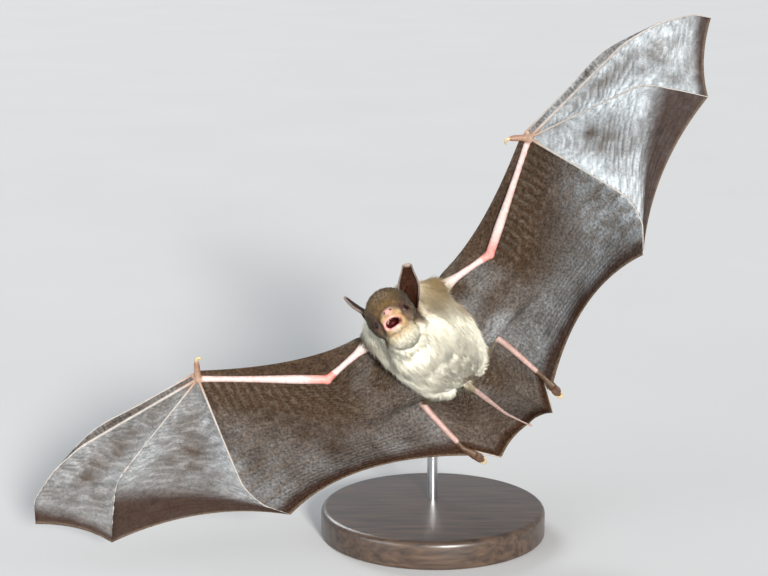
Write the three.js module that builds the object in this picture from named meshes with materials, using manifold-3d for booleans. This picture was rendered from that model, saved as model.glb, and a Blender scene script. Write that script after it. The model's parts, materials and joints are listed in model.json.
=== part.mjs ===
// A small mouse-eared bat in banked flight, life size, held by a turned display stand.
// Millimetres, +Z up, origin at the middle of the stand's underside.
//
// The bat is modelled in a frame of its own and then set on the stand:
//   +X its left, +Y its back, +Z towards its head, origin midway between the shoulders.
import * as THREE from 'three';
import { mergeVertices } from 'three/addons/utils/BufferGeometryUtils.js';
import Module from 'manifold-3d';

const wasm = await Module();
wasm.setup();

// ---------------------------------------------------------------- driving dimensions
const gap = 0.3;                 // clearance between neighbouring pieces
const eyeGap = 0.15;             // clearance round an eye
const sliver = 0.02;             // a cut leaves no sliver thinner than this
const membraneThickness = 0.5;
const hemStretch = 0.94;         // share of a skin's length over which it bellies and flattens
const boneTension = 0.22;        // how little a bone bends between its joints
const endGirth = 0.25;           // girth left at the rounded end of a body

// Stand
const baseRadius = 32;
const baseHeight = 8;
const baseBevel = 1.6;
const baseFoot = 0.8;            // bevel under the rim
const rodRadius = 1.5;
const rodBehind = 8;             // the rod stands this far behind the middle of the base
const rodStraight = 25;          // upright up to this height
const rodBend = 9;               // radius of its bend into the back
const rodLean = 0.35;            // share of the way to the back already gone at the bend
const rodDip = 0.8;              // the bend stays this far below its end
const rodEnd = [0.6, 12, -12];   // where the rod meets the back, in the bat's frame
const socketDepth = 5;           // of the rod in the base

// How the bat hangs in the air: tilt, bank, pitch and turn in degrees
const shoulderPlace = [-8.2, -17.5, 68.2];
const attitude = { tilt: -12, bank: -36, pitch: -6, turn: -13 };

// Bone lengths
const bones = {
  upperArm: 21,
  forearm: 35,
  thumb: [3.4, 2.0],
  digit2: [31, 3],
  digit3: [35, 11, 10, 6.5],
  digit4: [33.5, 9, 9],
  digit5: [31, 8.5, 8],
  thigh: 12.5,
  shank: 15.5,
  foot: 8.4,
  calcar: 11.3,
};

// Bone directions, each [sweep, lift] in degrees: sweep from straight out sideways towards
// the head, lift towards the back.
const wings = {
  left: {
    sign: 1,
    upperArm: [-2, 8],
    forearm: [31, -18],
    thumb: [[143, -14], [150, -30]],
    digit2: [[5.9, -16], [-14, -14]],
    digit3: [[5, -16], [-7, -7], [-19, 34], [-42, 46]],
    digit4: [[-14, -18], [-42, -3], [-50, 2]],
    digit5: [[-67, -15], [-94, -5], [-124, -5]],
    thigh: [22, 40],
    shank: [-76, 4],
    foot: [-85, 5],
    calcar: [-116, 22],
  },
  right: {
    sign: -1,
    upperArm: [-5, -11],
    forearm: [38, -20],
    thumb: [[127, -14], [134, -30]],
    digit2: [[6.4, -18], [-13, -14]],
    digit3: [[5.5, -18], [-4, -7], [-18, -1], [-53, 3]],
    digit4: [[-17, -16], [-41, -3], [-49, 2]],
    digit5: [[-81, -12], [-102, -5], [-127, -5]],
    thigh: [6, 32],
    shank: [-94, 9],
    foot: [-112, 9],
    calcar: [-127, 23],
  },
};

// Girdles and tail
const shoulder = [7, 0, 0];
const hip = [4, 8.5, -22.5];
const tailPath = [[0, 9, -23.5], [0.6, 17.5, -31.6], [0.7, 25.5, -37.2], [3.2, 32.8, -44.6]];

// Trunk with its coat: middle of the section, then half width and half depth
const trunkSections = [
  { at: [0, -5.5, 6.5], size: [9.5, 6.5] },
  { at: [0, -3.6, 0], size: [14.2, 9.6] },
  { at: [0.3, 0, -7.5], size: [14.9, 10] },
  { at: [0.7, 3.4, -15], size: [14.2, 9.6] },
  { at: [1, 6.6, -22], size: [12, 8.2] },
  { at: [1, 9, -28.2], size: [8.2, 5.4] },
];

// Head with its coat, in a frame of its own: -Y out through the nose, +Z to the crown
const headPlace = [-0.1, -14, 0.9];
const headTurn = { nod: -19, roll: 4, turn: 13 };
const headSections = [
  { at: [0, 6.6, 1], size: [3.6, 3.8] },
  { at: [0, 3.4, 0.9], size: [6.9, 7.2] },
  { at: [0, 0, 0.4], size: [7.4, 7.8] },
  { at: [0, -3.4, -1.4], size: [6.3, 6] },
  { at: [0, -6, -3.1], size: [4.1, 3.6] },
  { at: [0, -8.4, -3.6], size: [3, 2.3] },
  { at: [0, -10, -3.6], size: [2.3, 1.6] },
];
const eye = { at: [4.1, -4.9, -2.9], radius: 0.95 };
const jaw = {
  path: [[0, -2.4, -5.6], [0, -5.3, -7.2], [0, -8.2, -8.4]],
  size: [[3.2, 1.6], [2.5, 1.2], [1.7, 0.8]],
};
const tongue = {
  path: [[0, -4, -5.2], [0, -6, -6.2], [0, -7.7, -6.7]],
  size: [[1.4, 0.5], [1.3, 0.5], [0.9, 0.35]],
};
const gape = { at: [0, -7.6, -6], size: [2.3, 4.4, 1.75], nod: 22 };

// Leaf shapes: how deep they are cupped, how far the cup opens again towards the tip, how
// narrow they are at the root, and where they begin to taper
const ear = {
  length: 12.5,
  width: 2.9,
  tip: 1.1,
  cup: 1.5,
  open: 0.55,
  thickness: 0.7,
  waist: 0.62,
  taperFrom: 0.35,
  lean: 0.12,
  roundTip: 0.045,
};
const ears = {
  left: { sign: 1, base: [5.2, 1.6, -1.2], back: -6, splay: 26, twist: 8 },
  right: { sign: -1, base: [-4.6, 1.6, 1.9], back: 18, splay: 29, twist: -78 },
};
const tragus = { ...ear, length: 6, width: 0.85, tip: 0.35, cup: 0.15, thickness: 0.6, waist: 0.8 };
const tragusPlace = [0, -ear.cup - 0.7, 1.2];

const colours = {
  coat: '#cfc6a6',
  crown: '#6f6043',
  ear: '#3a2118',
  lip: '#c98f86',
  tongue: '#8e2f2b',
  eye: '#140c0a',
  limb: '#d9aaa0',
  digit: '#b79a8b',
  toe: '#b5814e',
  claw: '#3b2c20',
  membrane: '#4a4240',
  base: '#2a2320',
  rod: '#8d8f92',
};

// ---------------------------------------------------------------- shape helpers
const vec = (p) => new THREE.Vector3(...p);
const turned = (degrees) => THREE.MathUtils.degToRad(degrees);

// The way a bone points, from its sweep and lift, on the left (sign 1) or the right (-1)
function heading([sweep, lift], sign) {
  const flat = Math.cos(turned(lift));
  return new THREE.Vector3(
    sign * flat * Math.cos(turned(sweep)),
    Math.sin(turned(lift)),
    flat * Math.sin(turned(sweep)),
  );
}

// Joints along a chain of bones
function chain(start, lengths, headings, sign) {
  const joints = [start.clone()];
  lengths.forEach((length, i) => {
    const step = heading(headings[i], sign).multiplyScalar(length);
    joints.push(joints[i].clone().add(step));
  });
  return joints;
}

// A curve through joints that stays nearly straight between them
function boneCurve(joints) {
  return new THREE.CatmullRomCurve3(joints, false, 'catmullrom', boneTension);
}

function closed(geometry) {
  const bare = geometry.clone();
  bare.deleteAttribute('normal');
  bare.deleteAttribute('uv');
  return mergeVertices(bare, 1e-4);
}

// A closed body lofted along a curve. size(t) gives the half width and half depth, and both
// ends are rounded off over the share `round` of the length, through the rows in `ends`.
// A square one has four flat sides, square to the width and the depth.
function loft(curve, size, options = {}) {
  const { around = 8, steps = 8, round = 0.05, ends = [0], back = [0, 1, 0] } = options;
  const { square = false } = options;
  const rows = ends.map((t) => t * round);
  for (let i = 0; i <= steps; i += 1) rows.push(round + (1 - 2 * round) * (i / steps));
  rows.push(...ends.map((t) => 1 - t * round).reverse());
  const ring = square ? [Math.SQRT2, 4, Math.PI / 4] : [1, around, 0];
  const [girth, sides, start] = ring;
  const bands = rows.length - 1;
  const geometry = new THREE.CylinderGeometry(girth, girth, 1, sides, bands, false, start);
  const place = geometry.attributes.position;
  const p = new THREE.Vector3();
  for (let i = 0; i < place.count; i += 1) {
    p.fromBufferAttribute(place, i);
    const t = rows[Math.round((0.5 - p.y) * bands)];
    const inset = Math.max(0, 1 - Math.min(t, 1 - t) / round);
    const swell = Math.max(endGirth, Math.sqrt(1 - inset * inset));
    const tangent = curve.getTangent(t);
    const across = new THREE.Vector3().crossVectors(tangent, vec(back)).normalize();
    const deep = new THREE.Vector3().crossVectors(across, tangent).normalize();
    const [wide, thick] = size(t);
    const q = curve.getPoint(t);
    q.addScaledVector(across, p.x * wide * swell);
    q.addScaledVector(deep, -p.z * thick * swell);
    place.setXYZ(i, q.x, q.y, q.z);
  }
  return outward(closed(geometry));
}

// Turns the faces of a closed mesh outwards
function outward(geometry) {
  const index = geometry.index.array;
  const place = geometry.attributes.position;
  let volume = 0;
  const [a, b, c] = [new THREE.Vector3(), new THREE.Vector3(), new THREE.Vector3()];
  for (let i = 0; i < index.length; i += 3) {
    a.fromBufferAttribute(place, index[i]);
    b.fromBufferAttribute(place, index[i + 1]);
    c.fromBufferAttribute(place, index[i + 2]);
    volume += a.dot(b.cross(c));
  }
  if (volume < 0) {
    for (let i = 0; i < index.length; i += 3) {
      [index[i + 1], index[i + 2]] = [index[i + 2], index[i + 1]];
    }
  }
  return geometry;
}

// A body lofted through sections, grown by `grow` all round
function sectionBody(sections, options, grow = 0) {
  const middle = new THREE.CatmullRomCurve3(sections.map((s) => vec(s.at)));
  const sizes = new THREE.CatmullRomCurve3(sections.map((s) => vec([...s.size, 0])));
  const size = (t) => {
    const s = sizes.getPoint(t);
    return [s.x + grow, s.y + grow];
  };
  return loft(middle, size, { ends: [0, 0.3], ...options });
}

// A bone with its flesh: one radius for each joint, thinner between them. Grown, it is the
// square clearance that its neighbours are cut to, unless it is sharply bent.
function limb(curve, radii, options = {}, grow = 0) {
  const { waist = 0.12 } = options;
  const spans = radii.length - 1;
  const size = (t) => {
    const at = Math.min(t * spans, spans - 1e-6);
    const i = Math.floor(at);
    const part = at - i;
    const radius = THREE.MathUtils.lerp(radii[i], radii[i + 1], part);
    const r = radius * (1 - waist * Math.sin(Math.PI * part)) + grow;
    return [r, r];
  };
  return loft(curve, size, { ...options, square: grow > 0 && !options.bent });
}

// A skin stretched between four edges that share their corners, bellied out by `belly`
// towards the back, and `membraneThickness` thick. It still bellies a little at its hem.
function skin({ top, bottom, inner, outer, across, down, belly = 0 }) {
  const corner = [top(0), top(1), bottom(0), bottom(1)];
  const surface = (u, v) => {
    const p = new THREE.Vector3();
    p.addScaledVector(top(u), 1 - v).addScaledVector(bottom(u), v);
    p.addScaledVector(inner(v), 1 - u).addScaledVector(outer(v), u);
    p.addScaledVector(corner[0], -(1 - u) * (1 - v)).addScaledVector(corner[1], -u * (1 - v));
    p.addScaledVector(corner[2], -(1 - u) * v).addScaledVector(corner[3], -u * v);
    p.y += belly * Math.sin(Math.PI * u) * Math.sin(Math.PI * Math.min(v, hemStretch));
    return p;
  };
  const geometry = new THREE.BoxGeometry(1, 1, 1, across, down, 1);
  const place = geometry.attributes.position;
  const e = 0.01;                // step for the slope of the surface
  for (let i = 0; i < place.count; i += 1) {
    const u = place.getX(i) + 0.5;
    const v = 0.5 - place.getY(i);
    const du = surface(Math.min(u + e, 1), v).sub(surface(Math.max(u - e, 0), v));
    const dv = surface(u, Math.min(v + e, 1)).sub(surface(u, Math.max(v - e, 0)));
    const normal = du.cross(dv).normalize();
    const q = surface(u, v).addScaledVector(normal, place.getZ(i) * membraneThickness);
    place.setXYZ(i, q.x, q.y, q.z);
  }
  return outward(closed(geometry));
}

// Straight stretches from joint to joint
function polyline(joints) {
  const path = new THREE.CurvePath();
  joints.slice(1).forEach((joint, i) => path.add(new THREE.LineCurve3(joints[i], joint)));
  return path;
}

// A free edge from a to b that curves in towards `pull` by about `sag`, most at `deepest`
function freeEdge(a, b, pull, sag, deepest = 0.5) {
  const middle = a.clone().lerp(b, deepest);
  middle.addScaledVector(pull.clone().sub(middle).normalize(), 2 * sag);
  return new THREE.QuadraticBezierCurve3(a, middle, b);
}

// A cupped leaf standing on the origin, with its hollow towards -Y
function leaf(shape, across, down) {
  const { length, width, tip, cup, open, thickness, waist, taperFrom, lean, roundTip } = shape;
  const geometry = new THREE.BoxGeometry(1, 1, 1, across, down, 1);
  const place = geometry.attributes.position;
  for (let i = 0; i < place.count; i += 1) {
    const u = 2 * place.getX(i);
    const t = place.getY(i) + 0.5;
    const bulge = THREE.MathUtils.lerp(waist, 1, Math.sin(Math.PI * Math.min(0.62, 0.775 * t)));
    const taper = THREE.MathUtils.lerp(1, tip / width, THREE.MathUtils.smoothstep(t, taperFrom, 1));
    const crownDrop = length * roundTip * u * u * THREE.MathUtils.smoothstep(t, 0.8, 1);
    const half = width * bulge * taper;
    const x = half * Math.sin(u * Math.PI / 2);
    const wrap = cup * (1 - open * t) * (1 - Math.cos(u * Math.PI / 2));
    const y = place.getZ(i) * thickness - wrap + lean * length * t * t;
    place.setXYZ(i, x, y, t * length - crownDrop);
  }
  return outward(closed(geometry));
}

function toSolid(geometry) {
  const vertProperties = new Float32Array(geometry.attributes.position.array);
  const triVerts = new Uint32Array(geometry.index.array);
  return new wasm.Manifold(new wasm.Mesh({ numProp: 3, vertProperties, triVerts }));
}

function toGeometry(solid) {
  const cut = solid.getMesh();
  const geometry = new THREE.BufferGeometry();
  geometry.setAttribute('position', new THREE.BufferAttribute(cut.vertProperties, 3));
  geometry.setIndex(new THREE.BufferAttribute(cut.triVerts, 1));
  return geometry;
}

// What is left of a piece once its neighbours are cut away, without loose slivers
function trimmed(geometry, neighbours) {
  let solid = toSolid(geometry);
  neighbours.forEach((n) => { solid = solid.subtract(toSolid(n)); });
  const bodies = solid.decompose().sort((a, b) => b.volume() - a.volume());
  return toGeometry(bodies[0].asOriginal().simplify(sliver));
}

function joined(geometries) {
  const solid = geometries.map(toSolid).reduce((whole, piece) => whole.add(piece));
  return toGeometry(solid.asOriginal().simplify(sliver));
}

// ---------------------------------------------------------------- scene graph
const display = new THREE.Group();
const bat = new THREE.Group();
const body = new THREE.Group();
bat.position.set(...shoulderPlace);
bat.rotation.x = turned(attitude.tilt);
body.rotation.set(turned(attitude.pitch), turned(attitude.bank), turned(attitude.turn), 'YXZ');
bat.add(body);
display.add(bat);
display.updateMatrixWorld(true);

function addPiece(name, geometry, colour, roughness = 0.6, group = body) {
  const material = new THREE.MeshStandardMaterial({ color: colour, roughness, metalness: 0 });
  const shaded = geometry.clone();
  shaded.computeVertexNormals();
  const mesh = new THREE.Mesh(shaded, material);
  mesh.name = name;
  group.add(mesh);
  return mesh;
}

// ---------------------------------------------------------------- head
function trunkShape(grow = 0) {
  return sectionBody(trunkSections, { around: 18, steps: 8, round: 0.16 }, grow);
}
const clearTrunk = trunkShape(gap);

const headMatrix = new THREE.Matrix4().compose(
  vec(headPlace),
  new THREE.Quaternion().setFromEuler(
    new THREE.Euler(turned(headTurn.nod), turned(headTurn.roll), turned(headTurn.turn), 'ZXY'),
  ),
  new THREE.Vector3(1, 1, 1),
);
const onHead = (geometry) => geometry.applyMatrix4(headMatrix);

function headShape(grow = 0) {
  return onHead(sectionBody(
    headSections,
    { around: 14, steps: 9, round: 0.16, back: [0, 0, 1] },
    grow,
  ));
}

function jawShape(piece, grow = 0) {
  const curve = new THREE.CatmullRomCurve3(piece.path.map(vec));
  const sizes = new THREE.CatmullRomCurve3(piece.size.map((s) => vec([...s, 0])));
  const size = (t) => [sizes.getPoint(t).x + grow, sizes.getPoint(t).y + grow];
  return onHead(loft(curve, size, { around: 8, steps: 3, round: 0.2, back: [0, 0, 1] }));
}

function ball(centre, radii, nod = 0, [wide, high] = [8, 6]) {
  const geometry = closed(new THREE.SphereGeometry(1, wide, high));
  geometry.scale(...radii);
  geometry.rotateX(turned(nod));
  geometry.translate(...centre);
  return geometry;
}

function eyeShape(sign, grow = 0) {
  const r = eye.radius + grow;
  return onHead(ball([sign * eye.at[0], eye.at[1], eye.at[2]], [r, r, r]));
}

const gapeShape = onHead(ball(gape.at, gape.size, gape.nod));
const headSolid = trimmed(headShape(), [
  gapeShape, jawShape(jaw, gap), eyeShape(1, eyeGap), eyeShape(-1, eyeGap),
]);
addPiece('head', headSolid, colours.crown, 0.9);
addPiece('lower_jaw', trimmed(jawShape(jaw), [jawShape(tongue, gap)]), colours.lip);
addPiece('tongue', jawShape(tongue), colours.tongue, 0.3);
addPiece('eye_left', eyeShape(1), colours.eye, 0.1);
addPiece('eye_right', eyeShape(-1), colours.eye, 0.1);

function earMatrix({ sign, base, back, splay, twist }) {
  const turn = new THREE.Euler(turned(-back), turned(sign * splay), turned(twist), 'YXZ');
  return new THREE.Matrix4().compose(
    vec(base), new THREE.Quaternion().setFromEuler(turn), new THREE.Vector3(1, 1, 1),
  );
}

Object.entries(ears).forEach(([side, pose]) => {
  const place = headMatrix.clone().multiply(earMatrix(pose));
  const conch = leaf(ear, 4, 7).applyMatrix4(place);
  const spike = leaf(tragus, 2, 3);
  spike.translate(...tragusPlace);
  spike.applyMatrix4(place);
  const clearHead = headShape(gap);
  addPiece(`ear_${side}`, trimmed(conch, [clearHead, clearTrunk]), colours.ear);
  addPiece(`tragus_${side}`, trimmed(spike, [clearHead, clearTrunk]), colours.ear);
});

// ---------------------------------------------------------------- trunk
addPiece('trunk', trimmed(trunkShape(), [headShape(gap), jawShape(jaw, gap)]), colours.coat, 0.95);

// ---------------------------------------------------------------- tail
const tailCurve = boneCurve(tailPath.map(vec));
const tailRadii = [1.5, 1.05, 0.75, 0.5];
const tailInSkin = 0.95;         // share of the tail that the tail membrane holds
const tailShape = (grow = 0) => limb(tailCurve, tailRadii, { around: 6, steps: 6 }, grow);
addPiece('tail', trimmed(tailShape(), [clearTrunk]), colours.limb);

// ---------------------------------------------------------------- wings and legs
const radii = {
  upperArm: [5.4, 4.4, 2.5, 1.2, 1.3],
  forearm: [1.35, 1.4, 1.1, 0.95, 1.0],
  thumb: [0.75, 0.62, 0.5],
  digit2: [0.55, 0.42, 0.36],
  digit3: [0.75, 0.6, 0.5, 0.42, 0.34],
  digit4: [0.72, 0.56, 0.46, 0.36],
  digit5: [0.72, 0.56, 0.46, 0.36],
  leg: [1.7, 1.35, 0.95],
  calcar: [0.55, 0.36],
};
const wristRadii = [1.5, 1.35, 1.9];
const digit2Root = [0, 0, 1.7];    // beside the third finger, at the front of the wrist
const neckEdge = [15, -1, 2.6];    // where the front membrane leaves the neck
const thumbClaw = { length: 1.9, hook: 0.9, radius: 0.42 };
const sole = { width: [0.95, 1.7], depth: [0.85, 0.75] };
const toe = {
  count: 5,
  length: 4.6,
  outerShorter: 0.25,            // by this times the square of its place from the middle
  spacing: 0.62,
  fan: 0.12,
  arch: 0.5,                     // towards the back, half way along
  curl: 0.9,                     // towards the belly, at the claw
  root: 0.42,
  tip: 0.2,
  into: 1,                       // starts this far inside the sole
};
const scallop = { tip: 1.6, hand: 3.6, arm: 5.2, tail: 1.0, front: 4 };
const deepestArm = 0.66;         // the arm's hem curves in most this far towards the hand
const toeHold = [3, 0.8];        // the wing membrane ends this far down and beside the foot
const belly = { tip: 2, hand: 3.5, arm: 6, front: 1.5, tail: 1.5 };
const flankPoint = [8, 5, -10];  // the wing membrane leaves the body here

function splitCurve(curve, pieces) {
  const points = [];
  for (let i = 0; i <= pieces; i += 1) points.push(curve.getPoint(i / pieces));
  return new THREE.CatmullRomCurve3(points, false, 'catmullrom', 0.3);
}

// All the joints and bone curves of one side
function skeleton(pose) {
  const { sign } = pose;
  const at = (p) => new THREE.Vector3(sign * p[0], p[1], p[2]);
  const armBones = [bones.upperArm, bones.forearm];
  const arm = chain(at(shoulder), armBones, [pose.upperArm, pose.forearm], sign);
  const wrist = arm[2];
  const leg = chain(at(hip), [bones.thigh, bones.shank], [pose.thigh, pose.shank], sign);
  const ankle = leg[2];
  const digit = (name) => chain(wrist, bones[name], pose[name], sign);
  return {
    sign,
    arm,
    wrist,
    leg,
    ankle,
    thumb: digit('thumb'),
    digit2: chain(wrist.clone().add(at(digit2Root)), bones.digit2, pose.digit2, sign),
    digit3: digit('digit3'),
    digit4: digit('digit4'),
    digit5: digit('digit5'),
    foot: chain(ankle, [bones.foot], [pose.foot], sign),
    calcar: chain(ankle, [bones.calcar], [pose.calcar], sign),
  };
}

function armShapes(s) {
  const upper = splitCurve(new THREE.LineCurve3(s.arm[0], s.arm[1]), 4);
  const lower = splitCurve(new THREE.LineCurve3(s.arm[1], s.arm[2]), 4);
  const shape = (curve, key, options) => (grow = 0) => limb(curve, radii[key], options, grow);
  return {
    upperArm: shape(upper, 'upperArm', { around: 8, steps: 5, waist: 0 }),
    forearm: shape(lower, 'forearm', { around: 7, steps: 4, waist: 0, round: 0.03 }),
    thumb: shape(boneCurve(s.thumb), 'thumb', { around: 5, steps: 3, round: 0.08 }),
    digit2: shape(boneCurve(s.digit2), 'digit2', { around: 5, steps: 4, round: 0.02 }),
    digit3: shape(boneCurve(s.digit3), 'digit3', { around: 5, steps: 10, round: 0.015 }),
    digit4: shape(boneCurve(s.digit4), 'digit4', { around: 5, steps: 8, round: 0.015 }),
    digit5: shape(boneCurve(s.digit5), 'digit5', { around: 5, steps: 8, round: 0.015 }),
    leg: shape(boneCurve(s.leg), 'leg', {
      around: 7, steps: 5, waist: 0.18, round: 0.03, bent: true,
    }),
    calcar: shape(boneCurve(s.calcar), 'calcar', { around: 4, steps: 2 }),
  };
}

function clawShape(from, along, curl, { length, hook, radius }, sides = 5) {
  const mid = from.clone().addScaledVector(along, length * 0.6).addScaledVector(curl, -hook * 0.25);
  const tip = from.clone().addScaledVector(along, length).addScaledVector(curl, hook);
  const curve = new THREE.QuadraticBezierCurve3(from, mid, tip);
  const size = (t) => [radius * (1 - 0.8 * t), radius * (1 - 0.8 * t)];
  return loft(curve, size, { around: sides, steps: 2, round: 0.06 });
}

// Sole and five toes with their claws, closed together as in flight
function footShape(s, grow = 0) {
  const [ankle, tip] = s.foot;
  const along = tip.clone().sub(ankle).normalize();
  const across = new THREE.Vector3().crossVectors(along, vec([0, 1, 0])).normalize();
  const back = new THREE.Vector3().crossVectors(across, along).normalize();
  const soleEnd = ankle.clone().addScaledVector(along, bones.foot - toe.length + toe.curl);
  const pad = loft(
    new THREE.LineCurve3(ankle, soleEnd),
    (t) => [
      THREE.MathUtils.lerp(...sole.width, t) + grow,
      THREE.MathUtils.lerp(...sole.depth, t) + grow,
    ],
    { around: 7, steps: 1, round: 0.2 },
  );
  const toes = [];
  for (let i = 0; i < toe.count; i += 1) {
    const place = i - (toe.count - 1) / 2;
    const start = soleEnd.clone().addScaledVector(along, -toe.into);
    start.addScaledVector(across, place * toe.spacing);
    const end = start.clone().addScaledVector(along, toe.length - toe.outerShorter * place * place);
    end.addScaledVector(across, place * toe.fan);
    const mid = start.clone().lerp(end, 0.55).addScaledVector(back, toe.arch);
    end.addScaledVector(back, -toe.curl);
    const curve = new THREE.QuadraticBezierCurve3(start, mid, end);
    const size = (t) => new Array(2).fill(THREE.MathUtils.lerp(toe.root, toe.tip, t) + grow);
    toes.push(loft(curve, size, { around: 4, steps: 2, ends: [] }));
  }
  return joined([pad, ...toes]);
}

// Edges of the skins, from 0 to 1
const on = (curve) => (t) => curve.getPointAt(THREE.MathUtils.clamp(t, 0, 1));
const part = (curve, a, b) => (t) => curve.getPointAt(THREE.MathUtils.lerp(a, b, t));

// The skin between two fingers, from near the wrist to their ends
function handSkin({ inner, outer, sag, depth, across, down }) {
  const start = 0.05;            // share of each finger hidden in the wrist
  const root = [inner.getPointAt(start), outer.getPointAt(start)];
  return skin({
    top: (u) => root[0].clone().lerp(root[1], u),
    bottom: on(freeEdge(inner.getPointAt(1), outer.getPointAt(1), root[0], sag)),
    inner: part(inner, start, 1),
    outer: part(outer, start, 1),
    across,
    down,
    belly: depth,
  });
}

function addSide(side, pose) {
  const s = skeleton(pose);
  const shapes = armShapes(s);
  const grown = Object.fromEntries(Object.entries(shapes).map(([key, make]) => [key, make(gap)]));
  const wristBall = (grow = 0) => ball(
    s.wrist.toArray(), wristRadii.map((r) => r + grow), 0, [8, 5],
  );
  const clearWrist = wristBall(gap);
  const add = (name, geometry, colour) => addPiece(`${name}_${side}`, geometry, colour);

  // Bones with their flesh
  add('upper_arm', trimmed(shapes.upperArm(), [clearTrunk, headShape(gap)]), colours.limb);
  add('forearm', trimmed(shapes.forearm(), [grown.upperArm]), colours.limb);
  add('wrist', trimmed(wristBall(), [grown.forearm]), colours.toe);
  add('thumb', trimmed(shapes.thumb(), [clearWrist, grown.forearm]), colours.toe);
  add('digit_3', trimmed(shapes.digit3(), [clearWrist]), colours.digit);
  add('digit_2', trimmed(shapes.digit2(), [clearWrist]), colours.digit);
  add('digit_4', trimmed(shapes.digit4(), [clearWrist, grown.digit3]), colours.digit);
  add('digit_5', trimmed(shapes.digit5(), [clearWrist, grown.digit4]), colours.digit);
  add('leg', trimmed(shapes.leg(), [clearTrunk]), colours.limb);
  add('foot', trimmed(footShape(s), [grown.leg]), colours.toe);
  const clearFoot = footShape(s, gap);
  add('calcar', trimmed(shapes.calcar(), [grown.leg, clearFoot]), colours.limb);

  const thumbAlong = s.thumb[2].clone().sub(s.thumb[1]).normalize();
  const clawRoot = s.thumb[2].clone().addScaledVector(thumbAlong, gap);
  const clawCurl = new THREE.Vector3(0, -1, 0);
  add('thumb_claw', clawShape(clawRoot, thumbAlong, clawCurl, thumbClaw), colours.claw);

  // Skins between them
  const curves = Object.fromEntries(
    ['digit3', 'digit4', 'digit5', 'leg'].map((key) => [key, boneCurve(s[key])]),
  );
  const armPath = polyline(s.arm);
  const [elbow, wrist] = [s.arm[1], s.wrist];
  const neck = vec([s.sign * neckEdge[0], neckEdge[1], neckEdge[2]]);
  const frontEnd = s.digit2[0].clone().lerp(s.thumb[1], 0.45);
  const frontShape = skin({
    top: on(freeEdge(neck, frontEnd, elbow, scallop.front)),
    bottom: on(armPath),
    inner: on(new THREE.LineCurve3(neck, s.arm[0])),
    outer: on(new THREE.LineCurve3(frontEnd, wrist)),
    across: 8,
    down: 2,
    belly: belly.front,
  });
  add('front_membrane', trimmed(frontShape, [
    clearTrunk, headShape(gap), clearWrist, grown.upperArm, grown.forearm, grown.thumb,
  ]), colours.membrane);

  const clearHand = [clearWrist, grown.digit2, grown.digit3, grown.digit4, grown.digit5];
  const { digit3, digit4, digit5 } = curves;
  const panels = {
    membrane_3_4: {
      inner: digit3, outer: digit4, sag: scallop.tip, depth: belly.tip, across: 3, down: 7,
    },
    membrane_4_5: {
      inner: digit4, outer: digit5, sag: scallop.hand, depth: belly.hand, across: 4, down: 6,
    },
  };
  Object.entries(panels).forEach(([name, panel]) => {
    add(name, trimmed(handSkin(panel), clearHand), colours.membrane);
  });

  const foothold = s.ankle.clone().addScaledVector(heading(pose.foot, s.sign), toeHold[0]);
  foothold.x += s.sign * toeHold[1];
  const waist = vec([s.sign * flankPoint[0], flankPoint[1], flankPoint[2]]);
  const flank = new THREE.CatmullRomCurve3([s.arm[0], waist, ...s.leg, foothold]);
  const armPanel = skin({
    top: on(armPath),
    bottom: on(freeEdge(foothold, s.digit5[3], elbow, scallop.arm, deepestArm)),
    inner: on(flank),
    outer: on(curves.digit5),
    across: 8,
    down: 6,
    belly: belly.arm,
  });
  add('wing_membrane', trimmed(armPanel, [
    ...clearHand, clearTrunk, grown.upperArm, grown.forearm, grown.leg, clearFoot,
  ]), colours.membrane);

  const tailEnd = tailCurve.getPointAt(tailInSkin);
  const calcarTip = s.calcar[1];
  const hem = new THREE.CurvePath();
  hem.add(freeEdge(tailEnd, calcarTip, s.leg[1], scallop.tail));
  hem.add(new THREE.LineCurve3(calcarTip, s.ankle));
  const tailPanel = skin({
    top: on(new THREE.LineCurve3(tailCurve.getPoint(0), s.leg[0])),
    bottom: on(hem),
    inner: part(tailCurve, 0, tailInSkin),
    outer: on(curves.leg),
    across: 5,
    down: 5,
    belly: belly.tail,
  });
  add('tail_membrane', trimmed(tailPanel, [
    clearTrunk, tailShape(gap), grown.leg, grown.calcar, clearFoot,
  ]), colours.membrane);
}

Object.entries(wings).forEach(([side, pose]) => addSide(side, pose));

// ---------------------------------------------------------------- stand
const socket = rodRadius + gap;
const baseOutline = [
  [0, 0],
  [baseRadius - baseFoot, 0],
  [baseRadius, baseFoot],
  [baseRadius, baseHeight - baseBevel],
  [baseRadius - baseBevel, baseHeight],
  [0, baseHeight],
];
const disc = new THREE.LatheGeometry(baseOutline.map((p) => new THREE.Vector2(...p)), 36);
disc.rotateX(Math.PI / 2);
const backPoint = vec(rodEnd).applyMatrix4(body.matrixWorld);
const rodFoot = new THREE.Vector3(0, rodBehind, baseHeight - socketDepth);
const rodPath = new THREE.CatmullRomCurve3([
  rodFoot,
  new THREE.Vector3(0, rodBehind, rodStraight),
  new THREE.Vector3(0, rodBehind, backPoint.z - rodBend),
  new THREE.Vector3(backPoint.x * rodLean, rodBehind - rodBend * rodLean, backPoint.z - rodDip),
  backPoint,
], false, 'catmullrom', 0.35);
const rod = loft(rodPath, () => [rodRadius, rodRadius], { around: 8, steps: 10, round: 0.01 });
const hole = loft(rodPath, () => [socket, socket], { around: 8, steps: 10, round: 0.01 });
addPiece('stand_base', trimmed(outward(closed(disc)), [hole]), colours.base, 0.5, display);
const clearBack = clearTrunk.clone().applyMatrix4(body.matrixWorld);
addPiece('stand_rod', trimmed(rod, [clearBack]), colours.rod, 0.3, display);

export default display;
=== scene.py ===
import json
import math

import bmesh
import bpy
import numpy as np
from mathutils import Euler, Matrix, Vector
from mathutils.kdtree import KDTree

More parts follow.
